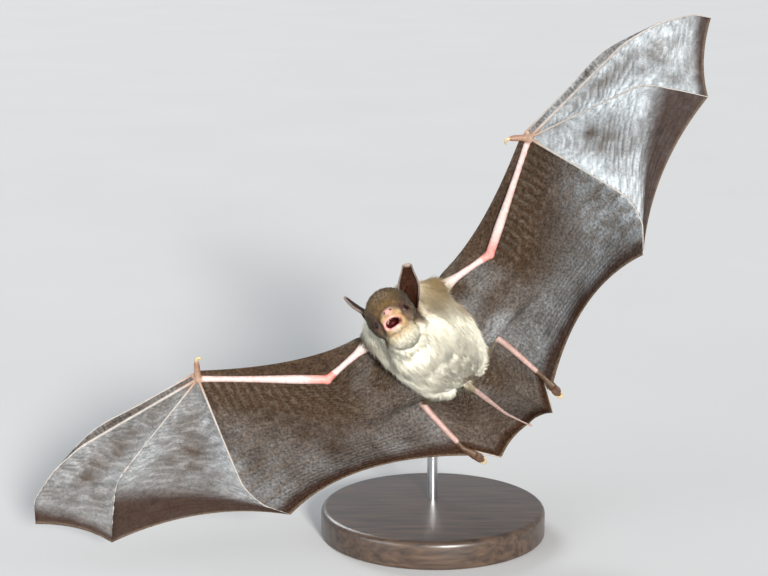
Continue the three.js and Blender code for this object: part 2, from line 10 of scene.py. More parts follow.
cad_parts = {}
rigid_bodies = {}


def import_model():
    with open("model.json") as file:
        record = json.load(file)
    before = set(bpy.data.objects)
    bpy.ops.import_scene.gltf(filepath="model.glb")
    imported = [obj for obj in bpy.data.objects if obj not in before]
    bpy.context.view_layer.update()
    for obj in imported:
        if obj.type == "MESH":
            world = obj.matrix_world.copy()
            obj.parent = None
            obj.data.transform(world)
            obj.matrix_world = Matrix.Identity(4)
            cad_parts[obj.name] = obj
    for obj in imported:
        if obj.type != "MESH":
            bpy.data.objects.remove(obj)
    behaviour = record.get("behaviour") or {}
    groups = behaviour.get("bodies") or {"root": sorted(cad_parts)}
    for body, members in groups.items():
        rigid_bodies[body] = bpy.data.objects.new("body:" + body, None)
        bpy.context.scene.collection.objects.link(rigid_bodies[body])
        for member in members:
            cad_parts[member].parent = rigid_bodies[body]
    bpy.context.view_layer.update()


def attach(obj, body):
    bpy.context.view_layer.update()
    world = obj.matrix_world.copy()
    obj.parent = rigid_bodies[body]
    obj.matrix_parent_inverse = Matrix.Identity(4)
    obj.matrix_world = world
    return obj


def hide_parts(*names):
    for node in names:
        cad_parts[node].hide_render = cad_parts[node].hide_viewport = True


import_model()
print("frame loaded")

# Everything on the bat is shaped in millimetres in its own frame: +X its left, +Y its back,
# +Z towards its head, origin midway between the shoulders. toWorld then sets it on the stand.
mm = 0.001
shoulderPlace = (-8.2, -17.5, 68.2)
attitude = {"tilt": -12, "bank": -36, "pitch": -6, "turn": -13}


def turnAbout(axis, degrees):
    return Matrix.Rotation(math.radians(degrees), 4, axis)


toWorld = (
    Matrix.Scale(mm, 4)
    @ Matrix.Translation(shoulderPlace)
    @ turnAbout("X", attitude["tilt"])
    @ turnAbout("Y", attitude["bank"])
    @ turnAbout("X", attitude["pitch"])
    @ turnAbout("Z", attitude["turn"])
)

# ---- bones
bones = {
    "upperArm": 21,
    "forearm": 35,
    "thumb": (3.4, 2.0),
    "digit2": (31, 3),
    "digit3": (35, 11, 10, 6.5),
    "digit4": (33.5, 9, 9),
    "digit5": (31, 8.5, 8),
    "thigh": 12.5,
    "shank": 17.2,
    "foot": 7.9,
    "calcar": 11.3,
}
# each bone's (sweep, lift) in degrees: sweep from straight out sideways towards the head,
# lift towards the back
poses = {
    "left": {
        "sign": 1,
        "arm": ((-2, 8), (31, -18)),
        "thumb": ((143, -14), (150, -30)),
        "digit2": ((5.9, -16), (-14, -14)),
        "digit3": ((5, -16), (-7, -7), (-19, 34), (-42, 46)),
        "digit4": ((-14, -18), (-42, -3), (-50, 2)),
        "digit5": ((-67, -15), (-94, -5), (-124, -5)),
        "leg": ((22, 40), (-76, 4)),
        "foot": ((-85, 5),),
        "calcar": ((-116, 22),),
    },
    "right": {
        "sign": -1,
        "arm": ((-5, -11), (38, -20)),
        "thumb": ((127, -14), (134, -30)),
        "digit2": ((6.4, -18), (-13, -14)),
        "digit3": ((5.5, -18), (-4, -7), (-18, -1), (-53, 3)),
        "digit4": ((-17, -16), (-41, -3), (-49, 2)),
        "digit5": ((-81, -12), (-102, -5), (-127, -5)),
        "leg": ((6, 32), (-94, 9)),
        "foot": ((-112, 9),),
        "calcar": ((-127, 23),),
    },
}
shoulder = (7, 0, 0)
hip = (4, 8.5, -22.5)
digit2Root = (0, 0, 1.7)
neckEdge = (15, -1, 2.6)
flankPoint = (8, 5, -10)
toeHold = (3, 0.8)
tailPath = ((0, 9, -23.5), (0.6, 17.5, -31.6), (0.7, 25.5, -37.2), (3.2, 32.8, -44.6))
boneTension = 0.22

headPlace = (-0.1, -14, 0.9)
headTurn = {"nod": -19, "roll": 4, "turn": 13}
headMatrix = (
    Matrix.Translation(headPlace)
    @ turnAbout("Z", headTurn["turn"])
    @ turnAbout("X", headTurn["nod"])
    @ turnAbout("Y", headTurn["roll"])
)


# ---- lines and surfaces
def unit(v):
    return v / np.maximum(np.linalg.norm(v, axis=-1, keepdims=True), 1e-9)


def lengths(v):
    return np.linalg.norm(v, axis=-1)


def smoothstep(x, low, high):
    t = np.clip((x - low) / (high - low), 0, 1)
    return t * t * (3 - 2 * t)


# 1 up to `full`, then down to 0 at `gone`
def fading(x, full, gone):
    return smoothstep(-x, -gone, -full)


def wave(x):
    return np.sin(2 * np.pi * x)


def mix(a, b, w):
    return a + (b - a) * np.asarray(w)[..., None]


def moved(matrix, points):
    m = np.array(matrix)
    return np.asarray(points, float) @ m[:3, :3].T + m[:3, 3]


def toHead(p):
    return moved(headMatrix.inverted(), p)


def heading(direction, sign):
    sweep, lift = np.radians(direction)
    flat = math.cos(lift)
    return np.array((sign * flat * math.cos(sweep), math.sin(lift), flat * math.sin(sweep)))


def chain(start, boneLengths, headings, sign):
    joints = [np.array(start, float)]
    for length, direction in zip(boneLengths, headings):
        joints.append(joints[-1] + length * heading(direction, sign))
    return np.array(joints)


def smoothLine(points, tension=0.5, count=121):
    given = np.array(points, float)
    p = np.vstack([2 * given[0] - given[1], given, 2 * given[-1] - given[-2]])
    t = np.linspace(0, len(given) - 1, count)
    i = np.minimum(t.astype(int), len(given) - 2)
    w = (t - i)[:, None]
    leave, arrive = tension * (p[i + 2] - p[i]), tension * (p[i + 3] - p[i + 1])
    return (
        (2 * w**3 - 3 * w**2 + 1) * p[i + 1]
        + (w**3 - 2 * w**2 + w) * leave
        + (3 * w**2 - 2 * w**3) * p[i + 2]
        + (w**3 - w**2) * arrive
    )


def along(line, t):
    at = np.linspace(0, 1, len(line))
    return np.stack([np.interp(t, at, line[:, k]) for k in range(line.shape[1])], -1)


def evened(line, count=161, start=0.0, end=1.0):
    run = np.concatenate([[0], np.cumsum(lengths(np.diff(line, axis=0)))])
    at = np.linspace(start, end, count) * run[-1]
    return np.stack([np.interp(at, run, line[:, k]) for k in range(3)], -1)


def freeEdge(a, b, pull, sag, deepest=0.5):
    middle = a + (b - a) * deepest
    middle = middle + 2 * sag * unit(pull - middle)
    t = np.linspace(0, 1, 121)[:, None]
    return (1 - t) ** 2 * a + 2 * t * (1 - t) * middle + t**2 * b


# How far an edge bows away from the straight line between its ends
def bowed(edge, v):
    return along(edge, v) - edge[0] * (1 - v[..., None]) - edge[-1] * v[..., None]


# A skin between four lines that share their corners, bellied out towards the back
def stretched(panel, u, v):
    top, bottom, inner, outer = (panel[k] for k in ("top", "bottom", "inner", "outer"))
    uu, vv = u[..., None], v[..., None]
    p = along(top, u) * (1 - vv) + along(bottom, u) * vv
    p += (1 - uu) ** panel["innerFade"] * bowed(inner, v)
    p += uu ** panel["outerFade"] * bowed(outer, v)
    p[..., 1] += panel["belly"] * np.sin(np.pi * u) * np.sin(np.pi * np.minimum(v, 0.94))
    return p


def panelNormal(panel, u, v, step=0.01):
    du = stretched(panel, np.minimum(u + step, 1), v) - stretched(panel, np.maximum(u - step, 0), v)
    dv = stretched(panel, u, np.minimum(v + step, 1)) - stretched(panel, u, np.maximum(v - step, 0))
    n = unit(np.cross(du, dv))
    return n * np.where(n[..., 1:2] < 0, -1, 1)


def skeleton(pose):
    sign = pose["sign"]
    mirror = np.array((sign, 1, 1))
    arm = chain(mirror * shoulder, (bones["upperArm"], bones["forearm"]), pose["arm"], sign)
    leg = chain(mirror * hip, (bones["thigh"], bones["shank"]), pose["leg"], sign)
    s = {"sign": sign, "arm": arm, "leg": leg}
    for name in ("thumb", "digit3", "digit4", "digit5"):
        s[name] = chain(arm[2], bones[name], pose[name], sign)
    s["digit2"] = chain(arm[2] + mirror * digit2Root, bones["digit2"], pose["digit2"], sign)
    for name in ("foot", "calcar"):
        s[name] = chain(leg[2], (bones[name],), pose[name], sign)
    for name in ("thumb", "digit2", "digit3", "digit4", "digit5", "leg", "calcar"):
        s[name + "Line"] = smoothLine(s[name], boneTension)
    return s


sides = {side: skeleton(pose) for side, pose in poses.items()}
tailLine = smoothLine(tailPath, boneTension)


# ---- solids made from bmesh primitives
def ball(bm, centre, radii, turn=(0, 0, 0), matrix=Matrix(), around=24, rings=16):
    place = (
        matrix
        @ Matrix.Translation(centre)
        @ Euler([math.radians(a) for a in turn]).to_matrix().to_4x4()
        @ Matrix.Diagonal((*radii, 1))
    )
    bmesh.ops.create_uvsphere(bm, u_segments=around, v_segments=rings, radius=1, matrix=place)


# A sphere drawn out along a line. size(t) gives half width and half depth, and its ends are
# rounded over the share `cap` of the line.
def drawnOut(bm, line, size, cap=0.05, back=(0, 1, 0), matrix=Matrix(), around=16, rings=28):
    verts = bmesh.ops.create_uvsphere(bm, u_segments=around, v_segments=rings, radius=1)["verts"]
    co = np.array([v.co for v in verts])
    ring = np.arccos(np.clip(-co[:, 2], -1, 1)) / np.pi
    capRing, step = 0.16, 0.004
    bend = np.minimum(np.minimum(ring, 1 - ring) / capRing, 1) * np.pi / 2
    edge = cap * (1 - np.cos(bend))
    middle = cap + (1 - 2 * cap) * (ring - capRing) / (1 - 2 * capRing)
    t = np.where(bend < np.pi / 2, np.where(ring < 0.5, edge, 1 - edge), middle)
    girth = np.sin(bend)
    angle = np.arctan2(co[:, 1], co[:, 0])
    tangent = unit(along(line, np.minimum(t + step, 1)) - along(line, np.maximum(t - step, 0)))
    across = unit(np.cross(tangent, np.array(back, float)))
    deep = np.cross(across, tangent)
    wide, thick = size(t)
    p = along(line, t)
    p = p + across * (wide * girth * np.cos(angle))[:, None]
    p = p + deep * (thick * girth * np.sin(angle))[:, None]
    for v, q in zip(verts, moved(matrix, p)):
        v.co = q


def tapered(radii, waist=0.0, flat=1.0):
    values = np.array(radii, float)

    def size(t):
        at = t * (len(values) - 1)
        r = np.interp(at, np.arange(len(values)), values)
        r = r * (1 - waist * np.sin(np.pi * (at % 1)))
        return r, r * flat

    return size


# Half widths and half depths at even steps along a line
def sized(wide, thick):
    return lambda t: [np.interp(t, np.linspace(0, 1, len(k)), k) for k in (wide, thick)]


def sectioned(sections):
    at = smoothLine([s[0] for s in sections])
    sizes = smoothLine([(*s[1], 0) for s in sections])
    return at, lambda t: (along(sizes, t)[:, 0], along(sizes, t)[:, 1])


def placed(name, data):
    made = bpy.data.objects.new(name, data)
    bpy.context.scene.collection.objects.link(made)
    return made


def newObject(name, bm):
    bm.normal_update()
    bmesh.ops.recalc_face_normals(bm, faces=bm.faces)
    mesh = bpy.data.meshes.new(name)
    bm.to_mesh(mesh)
    bm.free()
    return placed(name, mesh)


def applied(made):
    graph = bpy.context.evaluated_depsgraph_get()
    mesh = bpy.data.meshes.new_from_object(made.evaluated_get(graph))
    made.modifiers.clear()
    made.data = mesh
    return made


def voxelled(made, size, smooth):
    remesh = made.modifiers.new("Voxels", "REMESH")
    remesh.mode = "VOXEL"
    remesh.voxel_size = size
    remesh.use_smooth_shade = True
    soften = made.modifiers.new("Soften", "SMOOTH")
    soften.factor = 0.5
    soften.iterations = smooth
    return applied(made)


def carved(made, cutter):
    cut = made.modifiers.new("Carve", "BOOLEAN")
    cut.operation = "DIFFERENCE"
    cut.solver = "EXACT"
    cut.use_self = True
    cut.object = cutter
    applied(made)
    bpy.data.objects.remove(cutter)


def coordinates(mesh):
    co = np.empty(len(mesh.vertices) * 3, np.float32)
    mesh.vertices.foreach_get("co", co)
    return co.reshape(-1, 3).astype(float)


def paint(made, colours):
    data = np.ones((len(made.data.vertices), 4), np.float32)
    data[:, :3] = colours
    layer = made.data.attributes.new("marks", "FLOAT_COLOR", "POINT")
    layer.data.foreach_set("color", data.ravel())


def joinAll(name, pieces):
    for o in bpy.context.view_layer.objects:
        o.select_set(False)
    for o in pieces:
        o.select_set(True)
    bpy.context.view_layer.objects.active = pieces[0]
    bpy.ops.object.join()
    pieces[0].name = pieces[0].data.name = name
    return pieces[0]


def settle(made, matrix=toWorld):
    made.data.transform(matrix)
    made.data.update()
    for polygon in made.data.polygons:
        polygon.use_smooth = True
    return made


# Smooth unevenness from a few seeded waves, about -1 to 1
def unevenness(seed, wavelength, waves=10):
    r = np.random.default_rng(seed)
    turns = unit(r.normal(size=(waves, 3))) * 2 * np.pi / wavelength * r.uniform(0.6, 1.7, (waves, 1))
    phase = r.uniform(0, 2 * np.pi, waves)

    def at(p):
        return np.sin(p @ turns.T + phase).mean(-1) * 1.6

    return at


# ---- colours that skin and coat share
tints = {
    "belly": (0.97, 0.94, 0.80),
    "bellyFleck": (0.52, 0.41, 0.19),
    "flank": (0.24, 0.165, 0.070),
    "patch": (0.075, 0.042, 0.018),
    "back": (0.165, 0.110, 0.055),
    "crown": (0.128, 0.064, 0.015),
    "earRoot": (0.038, 0.012, 0.005),
    "cheek": (0.075, 0.029, 0.011),
    "muzzle": (0.44, 0.21, 0.17),
    "lip": (0.60, 0.27, 0.24),
    "throat": (0.50, 0.40, 0.245),
    "chin": (0.42, 0.235, 0.09),
    "mouth": (0.070, 0.006, 0.004),
    "lid": (0.035, 0.011, 0.007),
    "arm": (0.48, 0.37, 0.345),
    "armRed": (0.52, 0.20, 0.17),
    "shin": (0.33, 0.225, 0.195),
    "toe": (0.062, 0.030, 0.011),
    "wrist": (0.28, 0.17, 0.115),
    "digit": (0.31, 0.28, 0.255),
    "ear": (0.020, 0.006, 0.002),
    # pale rims of the ears: painted highlight
    "earRimHighlight": (0.26, 0.21, 0.18),
    "wing": (0.036, 0.0215, 0.0125),
    # painted highlight on the folds' crests outside the hands
    "wingCrestHighlight": (0.080, 0.062, 0.048),
    # pale bluish grey: painted sheen on the thin skins
    "wingSheen": (0.31, 0.335, 0.35),
    "wingEdge": (0.024, 0.0095, 0.004),
    "wingRim": (0.13, 0.095, 0.065),
}
tints = {k: np.array(v) for k, v in tints.items()}

broad = unevenness(3, 9)
fine = unevenness(5, 3.2)
speck = unevenness(11, 1.3)


def headDistance(h):
    return lengths((h - (0, -2.4, -1.0)) * (1, 0.85, 1))


# Distance to a place in the head or to its mirror image, whichever is nearer
def fromPair(h, place, stretch=(1, 1, 1)):
    x, y, z = place
    return np.minimum(*(lengths((h - (s * x, y, z)) / stretch) for s in (1, -1)))


# How far out from the mouth's opening a place is: 1 at its edge
def fromMouth(h):
    gape = face["gape"]
    return lengths(moved(turnAbout("X", -gape["nod"]), h - gape["at"]) / gape["size"])


def fromTail(p, start=8, step=8):
    return np.min(lengths(p[:, None] - tailLine[None, start::step]), axis=1)


# Darker patches of the coat: place, radius and tint in the bat's frame
coatPatches = (
    ((11.4, -3.0, 1.6), 3.6, "patch", 0.85),
    ((-13.2, -3.2, 0.6), 4.2, "patch", 0.85),
    ((14.5, 1.5, -6.5), 5.0, "flank", 0.8),
    ((2.4, 4.5, -22.8), 2.4, "flank", 0.85),
    ((0.4, 11.5, -26.0), 3.0, "flank", 0.85),
    ((9.8, -5.4, -1.4), 6.3, "flank", 0.85),
)
# and of the head, in pairs: place, stretch, tint, amount, how far it is full and where it is gone
headPatches = (
    ((5.0, -0.8, -1.4), (1, 1.25, 1), "earRoot", 0.78, 3.0, 5.4),
    ((3.9, -5.0, -3.6), (1, 1, 1), "cheek", 0.75, 2.2, 4.0),
)


# The coat's markings at points in the bat's frame
def coatColour(p):
    def tinted(colour, name, amount):
        return mix(colour, tints[name], amount)

    h = toHead(p)
    middle = np.interp(-p[:, 2], *backLine)
    onBack = smoothstep(p[:, 1] - middle + 1.3 * broad(p), 2.2, 6.2)
    flecks = 0.18 * smoothstep(fine(p), 0.0, 0.9) + 0.30 * smoothstep(speck(1.4 * p), 0.1, 1.0)
    colour = tinted(tints["belly"][None], "bellyFleck", flecks)
    side = smoothstep(np.abs(p[:, 0]), 8.0, 14.0) * smoothstep(p[:, 2], -14, 0)
    colour = tinted(colour, "flank", 0.75 * side * smoothstep(broad(p) + 0.7 * fine(p), -0.8, 0.7))
    for place, radius, name, amount in coatPatches:
        near = lengths(p - place) + 0.7 * fine(p)
        colour = tinted(colour, name, amount * fading(near, 0.4 * radius, 1.5 * radius))
    colour = tinted(colour, "back", onBack)
    # the head: olive brown crown, dark from the ears' roots to the eyes, pale chin and throat
    crown = smoothstep(h[:, 2] + 0.30 * h[:, 1] + 1.1 * fine(p) + 0.5 * speck(p), -7.4, -3.7)
    byMouth = fading(fromMouth(h), 1.9, 4.0) * smoothstep(-h[:, 1], 3.5, 5.5)
    onHead = tinted(tints["belly"] * 0.92, "throat", 0.9 * fading(fromMouth(h), 3.2, 7.5))
    onHead = tinted(onHead, "crown", crown)
    onHead = tinted(onHead, "chin", 0.8 * byMouth)
    onHead = tinted(onHead, "bellyFleck", 0.16 * crown * smoothstep(speck(p), -0.2, 1.2))
    for place, stretch, name, amount, full, gone in headPatches:
        onHead = tinted(onHead, name, amount * fading(fromPair(h, place, stretch), full, gone))
    colour = mix(colour, onHead, fading(headDistance(h), 8.2, 10.5))
    return colour * (1 + 0.10 * speck(p))[:, None]


# ---- trunk, head and limbs as one body
trunk = {
    "sections": (
        ((0, -5.0, 7.2), (7.0, 4.2)),
        ((0, -3.4, 0), (11.8, 7.4)),
        ((0.3, 0, -7.5), (12.4, 7.8)),
        ((0.7, 3.2, -14.5), (11.5, 7.2)),
        ((1, 6.0, -20), (8.8, 5.5)),
        ((1, 7.8, -23.8), (5.0, 3.1)),
    ),
    "upperArm": (3.0, 2.0, 1.05, 0.85, 1.15),
    "forearm": (1.25, 1.30, 1.0, 0.86, 0.95),
    "thumb": (1.1, 0.88, 0.84, 0.6),
    "leg": (2.6, 1.9, 1.05, 0.9, 0.75),
    "tail": (1.1, 0.8, 0.62, 0.42),
    "elbow": (1.4, 1.3, 1.4),
    "wrist": (1.35, 1.1, 1.5),
    "thumbRoot": ((0.5, 0, 1.3), (0.9, 0.7, 0.9)),
    "knee": (1.25, 1.2, 1.25),
    "ankle": (0.95, 0.85, 0.95),
    "voxel": 0.24,
    "skinShade": 0.72,  # how dark the skin is against the coat that hides it
    "underCoat": 0.42,  # share of its faces that the trunk keeps where the coat hides it
    "smooth": 5,
    "softening": 85,
    "chest": (((6.2, -3.0, -3.2), (5.6, 4.4, 6.8)), ((8.2, -1.2, -0.4), (5.0, 4.0, 4.2)),
              ((6.4, 6.4, -16.4), (4.4, 3.4, 4.8))),  # breast muscle, shoulder, haunch
    "throat": (((0, -7.5, -0.5), (6.6, 6.2, 6.4)), ((-0.3, -11.5, -6.0), (6.4, 5.2, 4.8)),
               ((0.6, -8.2, -9.4), (8.4, 4.9, 7.6))),  # neck, ruff, breast
}
face = {
    "skull": (
        ((0, 6.0, 1), (2.8, 3.0)),
        ((0, 3.2, 0.9), (6.0, 6.2)),
        ((0, 0, 0.4), (6.5, 6.8)),
        ((0, -3.4, -1.4), (5.3, 5.2)),
        ((0, -6, -3.0), (3.4, 3.1)),
        ((0, -8.4, -3.4), (2.35, 1.8)),
        ((0, -9.9, -3.45), (1.5, 1.1)),
    ),
    "eye": (4.1, -4.9, -2.9),
    "eyeRadius": 0.95,
    "nostril": 0.98,
    "gape": {"at": (-0.4, -8.0, -5.85), "size": (1.8, 4.6, 1.12), "nod": 22},
    "lidSlot": {"toward": (0.80, -0.58, -0.02), "size": (0.95, 0.95, 0.72)},
    "rims": (  # upper lip and lower jaw, from the left corner of the mouth to the right
        {"path": ((2.75, -5.0, -5.2), (2.5, -6.6, -4.95), (1.75, -8.3, -4.8), (0, -9.45, -4.75),
                  (-1.75, -8.3, -4.8), (-2.5, -6.6, -4.95), (-2.75, -5.0, -5.2)),
         "radii": (0.6, 0.62, 0.6, 0.5, 0.6, 0.62, 0.6)},
        {"path": ((2.5, -4.2, -6.7), (2.1, -6.0, -7.1), (1.35, -7.7, -7.6), (-0.2, -8.6, -7.85),
                  (-1.75, -7.7, -7.6), (-2.4, -6.0, -7.1), (-2.6, -4.2, -6.7)),
         "radii": (0.9, 0.85, 0.72, 0.68, 0.72, 0.85, 0.9)},
    ),
}
print("body begins")
trunkLine, trunkSize = sectioned(trunk["sections"])
# the line that parts back from belly: distance down the body, and how far towards the back
backLine = (
    [-s[0][2] for s in trunk["sections"]] + [-q[2] for q in tailPath[1:]],
    [s[0][1] for s in trunk["sections"]] + [q[1] for q in tailPath[1:]],
)
skullLine, skullSize = sectioned(face["skull"])


def buildFace(bm):
    def lump(centre, radii, turn=(0, 0, 0)):
        ball(bm, centre, radii, turn, headMatrix, 28, 18)

    drawnOut(bm, skullLine, skullSize, 0.12, (0, 0, 1), headMatrix, 32, 40)
    for s in (1, -1):
        lump((s * 3.4, -3.0, -3.4), (2.3, 2.6, 2.4))  # cheek
        lump((s * 1.6, -7.3, -3.95), (1.5, 2.1, 1.25), (14, 0, s * 12))  # muzzle pad
        lump((s * 1.5, -6.4, -2.4), (1.0, 1.8, 0.8), (18, 0, s * 10))  # gland
        lump((s * 0.72, -10.0, -3.35), (0.62, 0.5, 0.52), (0, 0, s * 25))  # nostril rim
        lump((s * 2.35, -6.3, -6.0), (0.75, 2.2, 1.75), (22, 0, s * 6))  # corner of the mouth
        x, y, z = face["eye"]
        lump((s * (x - 0.1), y, z), (1.25, 1.3, 1.2))  # lids
        lump((s * 3.8, y + 0.4, z + 1.4), (0.9, 1.5, 0.6), (0, s * 30, 0))  # brow
    lump((0, -9.5, -3.25), (1.25, 0.9, 0.85))  # nose
    lump((0, -9.0, -4.5), (1.5, 0.8, 0.6))  # front of the upper lip
    for rim in face["rims"]:
        drawnOut(bm, smoothLine(rim["path"]), tapered(rim["radii"]), 0.03, (0, 0, 1), headMatrix)
    lump((-0.1, -5.2, -7.6), (2.2, 3.2, 0.9), (-26, 0, 0))  # floor of the mouth
    lump((-0.2, -7.7, -8.3), (1.2, 0.95, 0.6), (-26, 0, 0))  # chin
    lump((0, -1.4, -6.2), (4.2, 3.8, 2.6))  # throat
    lump((0.2, -2.0, -8.3), (4.3, 3.8, 2.5))  # and the fur below it


def faceCuts():
    bm = bmesh.new()
    gape = face["gape"]
    ball(bm, gape["at"], gape["size"], (gape["nod"], 0, 0), headMatrix, 32, 20)
    slot = face["lidSlot"]
    x, y, z = np.add(face["eye"], slot["toward"])
    for s in (1, -1):
        ball(bm, (s * x, y, z), slot["size"], (0, 0, s * 36), headMatrix)
        ball(bm, (s * face["nostril"], -10.55, -3.3), (0.26, 0.55, 0.28), (0, 0, s * 32), headMatrix)
    return newObject("faceCuts", bm)


foot = {
    "toeRoot": 4.2,  # from the ankle
    "toeGap": 0.50,
    "toe": 3.55,
    "outerToe": 0.16,  # how much shorter the toes get outwards
    "toeRadii": (0.36, 0.28, 0.34, 0.25, 0.28),
    "knuckle": 1.7,  # from the toe's root
    "arch": 0.30,  # how far the knuckle rises and the tip falls
    "splay": 0.04,
    "sole": ((0.75, 1.45), (0.72, 0.62)),
}


def buildFoot(bm, s):
    ankle, tip = s["foot"]
    out = unit(tip - ankle)
    across = unit(np.cross(out, (0, 1, 0)))
    back = np.cross(across, out)
    toeRoot = ankle + out * foot["toeRoot"]
    sole = np.array([ankle - out * 0.4, toeRoot])
    drawnOut(bm, sole, sized(*foot["sole"]), 0.12, around=16, rings=14)
    claws = []
    for k in (-2, -1, 0, 1, 2):
        start = toeRoot - out * 0.7 + across * k * foot["toeGap"]
        aside = across * k * foot["splay"]
        knuckle = start + out * foot["knuckle"] + aside + back * foot["arch"]
        end = start + out * (foot["toe"] - foot["outerToe"] * k * k)
        end = end - across * k * 0.07 - back * foot["arch"]
        toe = smoothLine((start, knuckle, end))
        drawnOut(bm, toe, tapered(foot["toeRadii"]), 0.08, around=12, rings=16)
        claws.append((end, unit(out - aside), -back))
    return claws


def buildBody():
    bm = bmesh.new()
    drawnOut(bm, trunkLine, trunkSize, 0.14, around=40, rings=44)
    buildFace(bm)
    toeClaws = {}
    for side, s in sides.items():
        mirror = np.array((s["sign"], 1, 1))
        (root, elbow, wrist), (_, knee, ankle) = s["arm"], s["leg"]
        upper, lower = np.linspace(root, elbow, 40), np.linspace(elbow, wrist, 60)
        drawnOut(bm, upper, tapered(trunk["upperArm"]), 0.05, around=20, rings=30)
        drawnOut(bm, lower, tapered(trunk["forearm"], flat=0.9), 0.03, around=16, rings=40)
        ball(bm, elbow, trunk["elbow"])
        ball(bm, wrist, trunk["wrist"])
        place, radii = trunk["thumbRoot"]
        ball(bm, wrist + mirror * place, radii)
        drawnOut(bm, s["thumbLine"], tapered(trunk["thumb"]), 0.1, around=12, rings=18)
        drawnOut(bm, s["legLine"], tapered(trunk["leg"]), 0.03, around=16, rings=34)
        ball(bm, knee, trunk["knee"])
        ball(bm, ankle, trunk["ankle"])
        toeClaws[side] = buildFoot(bm, s)
        for place, radii in trunk["chest"]:
            ball(bm, mirror * place, radii)
    drawnOut(bm, tailLine, tapered(trunk["tail"], 0.10), 0.03, around=12, rings=60)
    for place, radii in trunk["throat"]:
        ball(bm, place, radii)
    body = newObject("bodySkin", bm)
    voxelled(body, trunk["voxel"], 1)
    carved(body, faceCuts())
    return voxelled(body, trunk["voxel"], trunk["smooth"]), toeClaws


body, toeClaws = buildBody()
print("body", len(body.data.polygons), "faces")

# ---- the skins of wings and tail
wing = {
    # how much painted sheen each wing takes: the left wing is painted brighter than the right
    "sideSheen": {"left": 1.0, "right": 0.45},
    "crestHighlight": 1.8,  # painted highlight: how much paler the folds' crests are painted between the fingers
    "hemNarrows": 0.55,  # share of its hem that a hand's skin loses towards the body
    "thickness": 0.14,
    "pinch": 1.6,  # thicknesses that the skin's two faces may lie apart
    "pattern": (0.007, 0.01),  # size of its vessels and wrinkles across and down, per millimetre
    "tipSag": 1.6,
    "handSag": 3.6,
    "armSag": 5.2,
    "armDeepest": 0.66,
    "tailSag": 1.0,
    "frontSag": 4,
    "tipBelly": 2,
    "handBelly": 3.5,
    "armBelly": 6,
    "frontBelly": 1.5,
    "tailBelly": 1.5,
    "tailInSkin": 0.95,
    "edgeMerge": 0.74,  # where the leading edge meets the third finger
    "edgeAhead": 0.22,  # and how far ahead of that finger's middle it stays there
    "edgeRod": 130,  # how many of the leading edge's 161 points its bone covers
    "frontEnd": 0.45,  # where the front skin ends between second finger and thumb
    "start": 0.015,  # where the skins begin along the fingers
    "digitRadii": {
        "edge": (0.30, 0.22, 0.19, 0.15, 0.10),
        "digit3": (0.50, 0.36, 0.38, 0.22, 0.26, 0.16, 0.18, 0.11, 0.10),
        "digit4": (0.36, 0.22, 0.25, 0.15, 0.19, 0.12, 0.10),
        "digit5": (0.42, 0.25, 0.28, 0.16, 0.22, 0.13, 0.10),
        "calcar": (0.38, 0.25, 0.16),
    },
}


def straight(a, b):
    return np.linspace(a, b, 41)


def skinBetween(top, bottom, inner, outer, belly, innerFade=1, outerFade=1):
    return {"top": top, "bottom": bottom, "inner": inner, "outer": outer, "belly": belly,
            "innerFade": innerFade, "outerFade": outerFade}


# The wing's leading edge: along the second finger, then in a long curve onto the third
def leadingEdge(s):
    second, third = s["digit2Line"], evened(s["digit3Line"])
    half = len(second) // 2
    front = unit(second[half] - third[len(third) // 2])
    meet = third[int(wing["edgeMerge"] * len(third))] + wing["edgeAhead"] * front
    return evened(smoothLine([second[0], second[half // 2], second[half], meet]), 161, wing["start"])


def wingPanels(s, pose):
    sign, arm = s["sign"], s["arm"]
    mirror = np.array((sign, 1, 1))
    armLine = evened(arm)
    neck = mirror * neckEdge
    frontEnd = s["digit2"][0] * (1 - wing["frontEnd"]) + s["thumb"][1] * wing["frontEnd"]
    foothold = s["leg"][2] + toeHold[0] * heading(pose["foot"][0], sign)
    foothold = foothold + np.array((sign * toeHold[1], 0, 0))
    flank = smoothLine([arm[0], mirror * flankPoint, *s["leg"], foothold])
    third, fourth, fifth = (evened(s[f"digit{k}Line"], 161, wing["start"]) for k in (3, 4, 5))
    ahead = evened(s["digit3Line"], 161, wing["start"], wing["edgeMerge"])
    tail = evened(tailLine, 161, 0, wing["tailInSkin"])
    calcarTip = s["calcar"][1]
    hem = np.vstack([freeEdge(tail[-1], calcarTip, s["leg"][1], wing["tailSag"]),
                     straight(calcarTip, s["leg"][2])[1:]])
    armHem = freeEdge(foothold, s["digit5"][-1], arm[1], wing["armSag"], wing["armDeepest"])

    def hand(inner, outer, sag, belly):
        bottom = freeEdge(inner[-1], outer[-1], inner[0], sag)
        return skinBetween(straight(inner[0], outer[0]), bottom, inner, outer, belly)

    return {
        "front": skinBetween(
            evened(freeEdge(neck, frontEnd, arm[1], wing["frontSag"])), armLine,
            straight(neck, arm[0]), straight(frontEnd, arm[2]), wing["frontBelly"],
        ),
        "edge": hand(leadingEdge(s), ahead, 0, 0),
        "tip": hand(third, fourth, wing["tipSag"], wing["tipBelly"]),
        "hand": hand(fourth, fifth, wing["handSag"], wing["handBelly"]),
        "arm": skinBetween(armLine, evened(armHem), evened(flank), evened(s["digit5Line"]),
                           wing["armBelly"], innerFade=2.6, outerFade=1.3),
        "tail": skinBetween(straight(tail[0], s["leg"][0]), evened(hem), tail,
                            evened(s["legLine"]), wing["tailBelly"], outerFade=1.8),
    }


slowWave = unevenness(21, 14)
midWave = unevenness(22, 6)
quickWave = unevenness(23, 2.6)
crinkle = unevenness(24, 1.7, 24)

folds = {  # how many there are, and their height in millimetres
    "arcs": (19, 0.19),
    "handBarbs": (15, 0.13),
    "armBarbs": (10, 0.24),
    "pleats": (23, 0.11),
    "long": (7, 0.04),
    "tailAcross": (13, 0.06),
}
crinkles = {"hand": 0.07, "arm": 0.16, "tail": 0.07, "plain": 0.05}


def folded(kind, run, bend):
    count, height = folds[kind]
    return height * wave(count * run + bend)


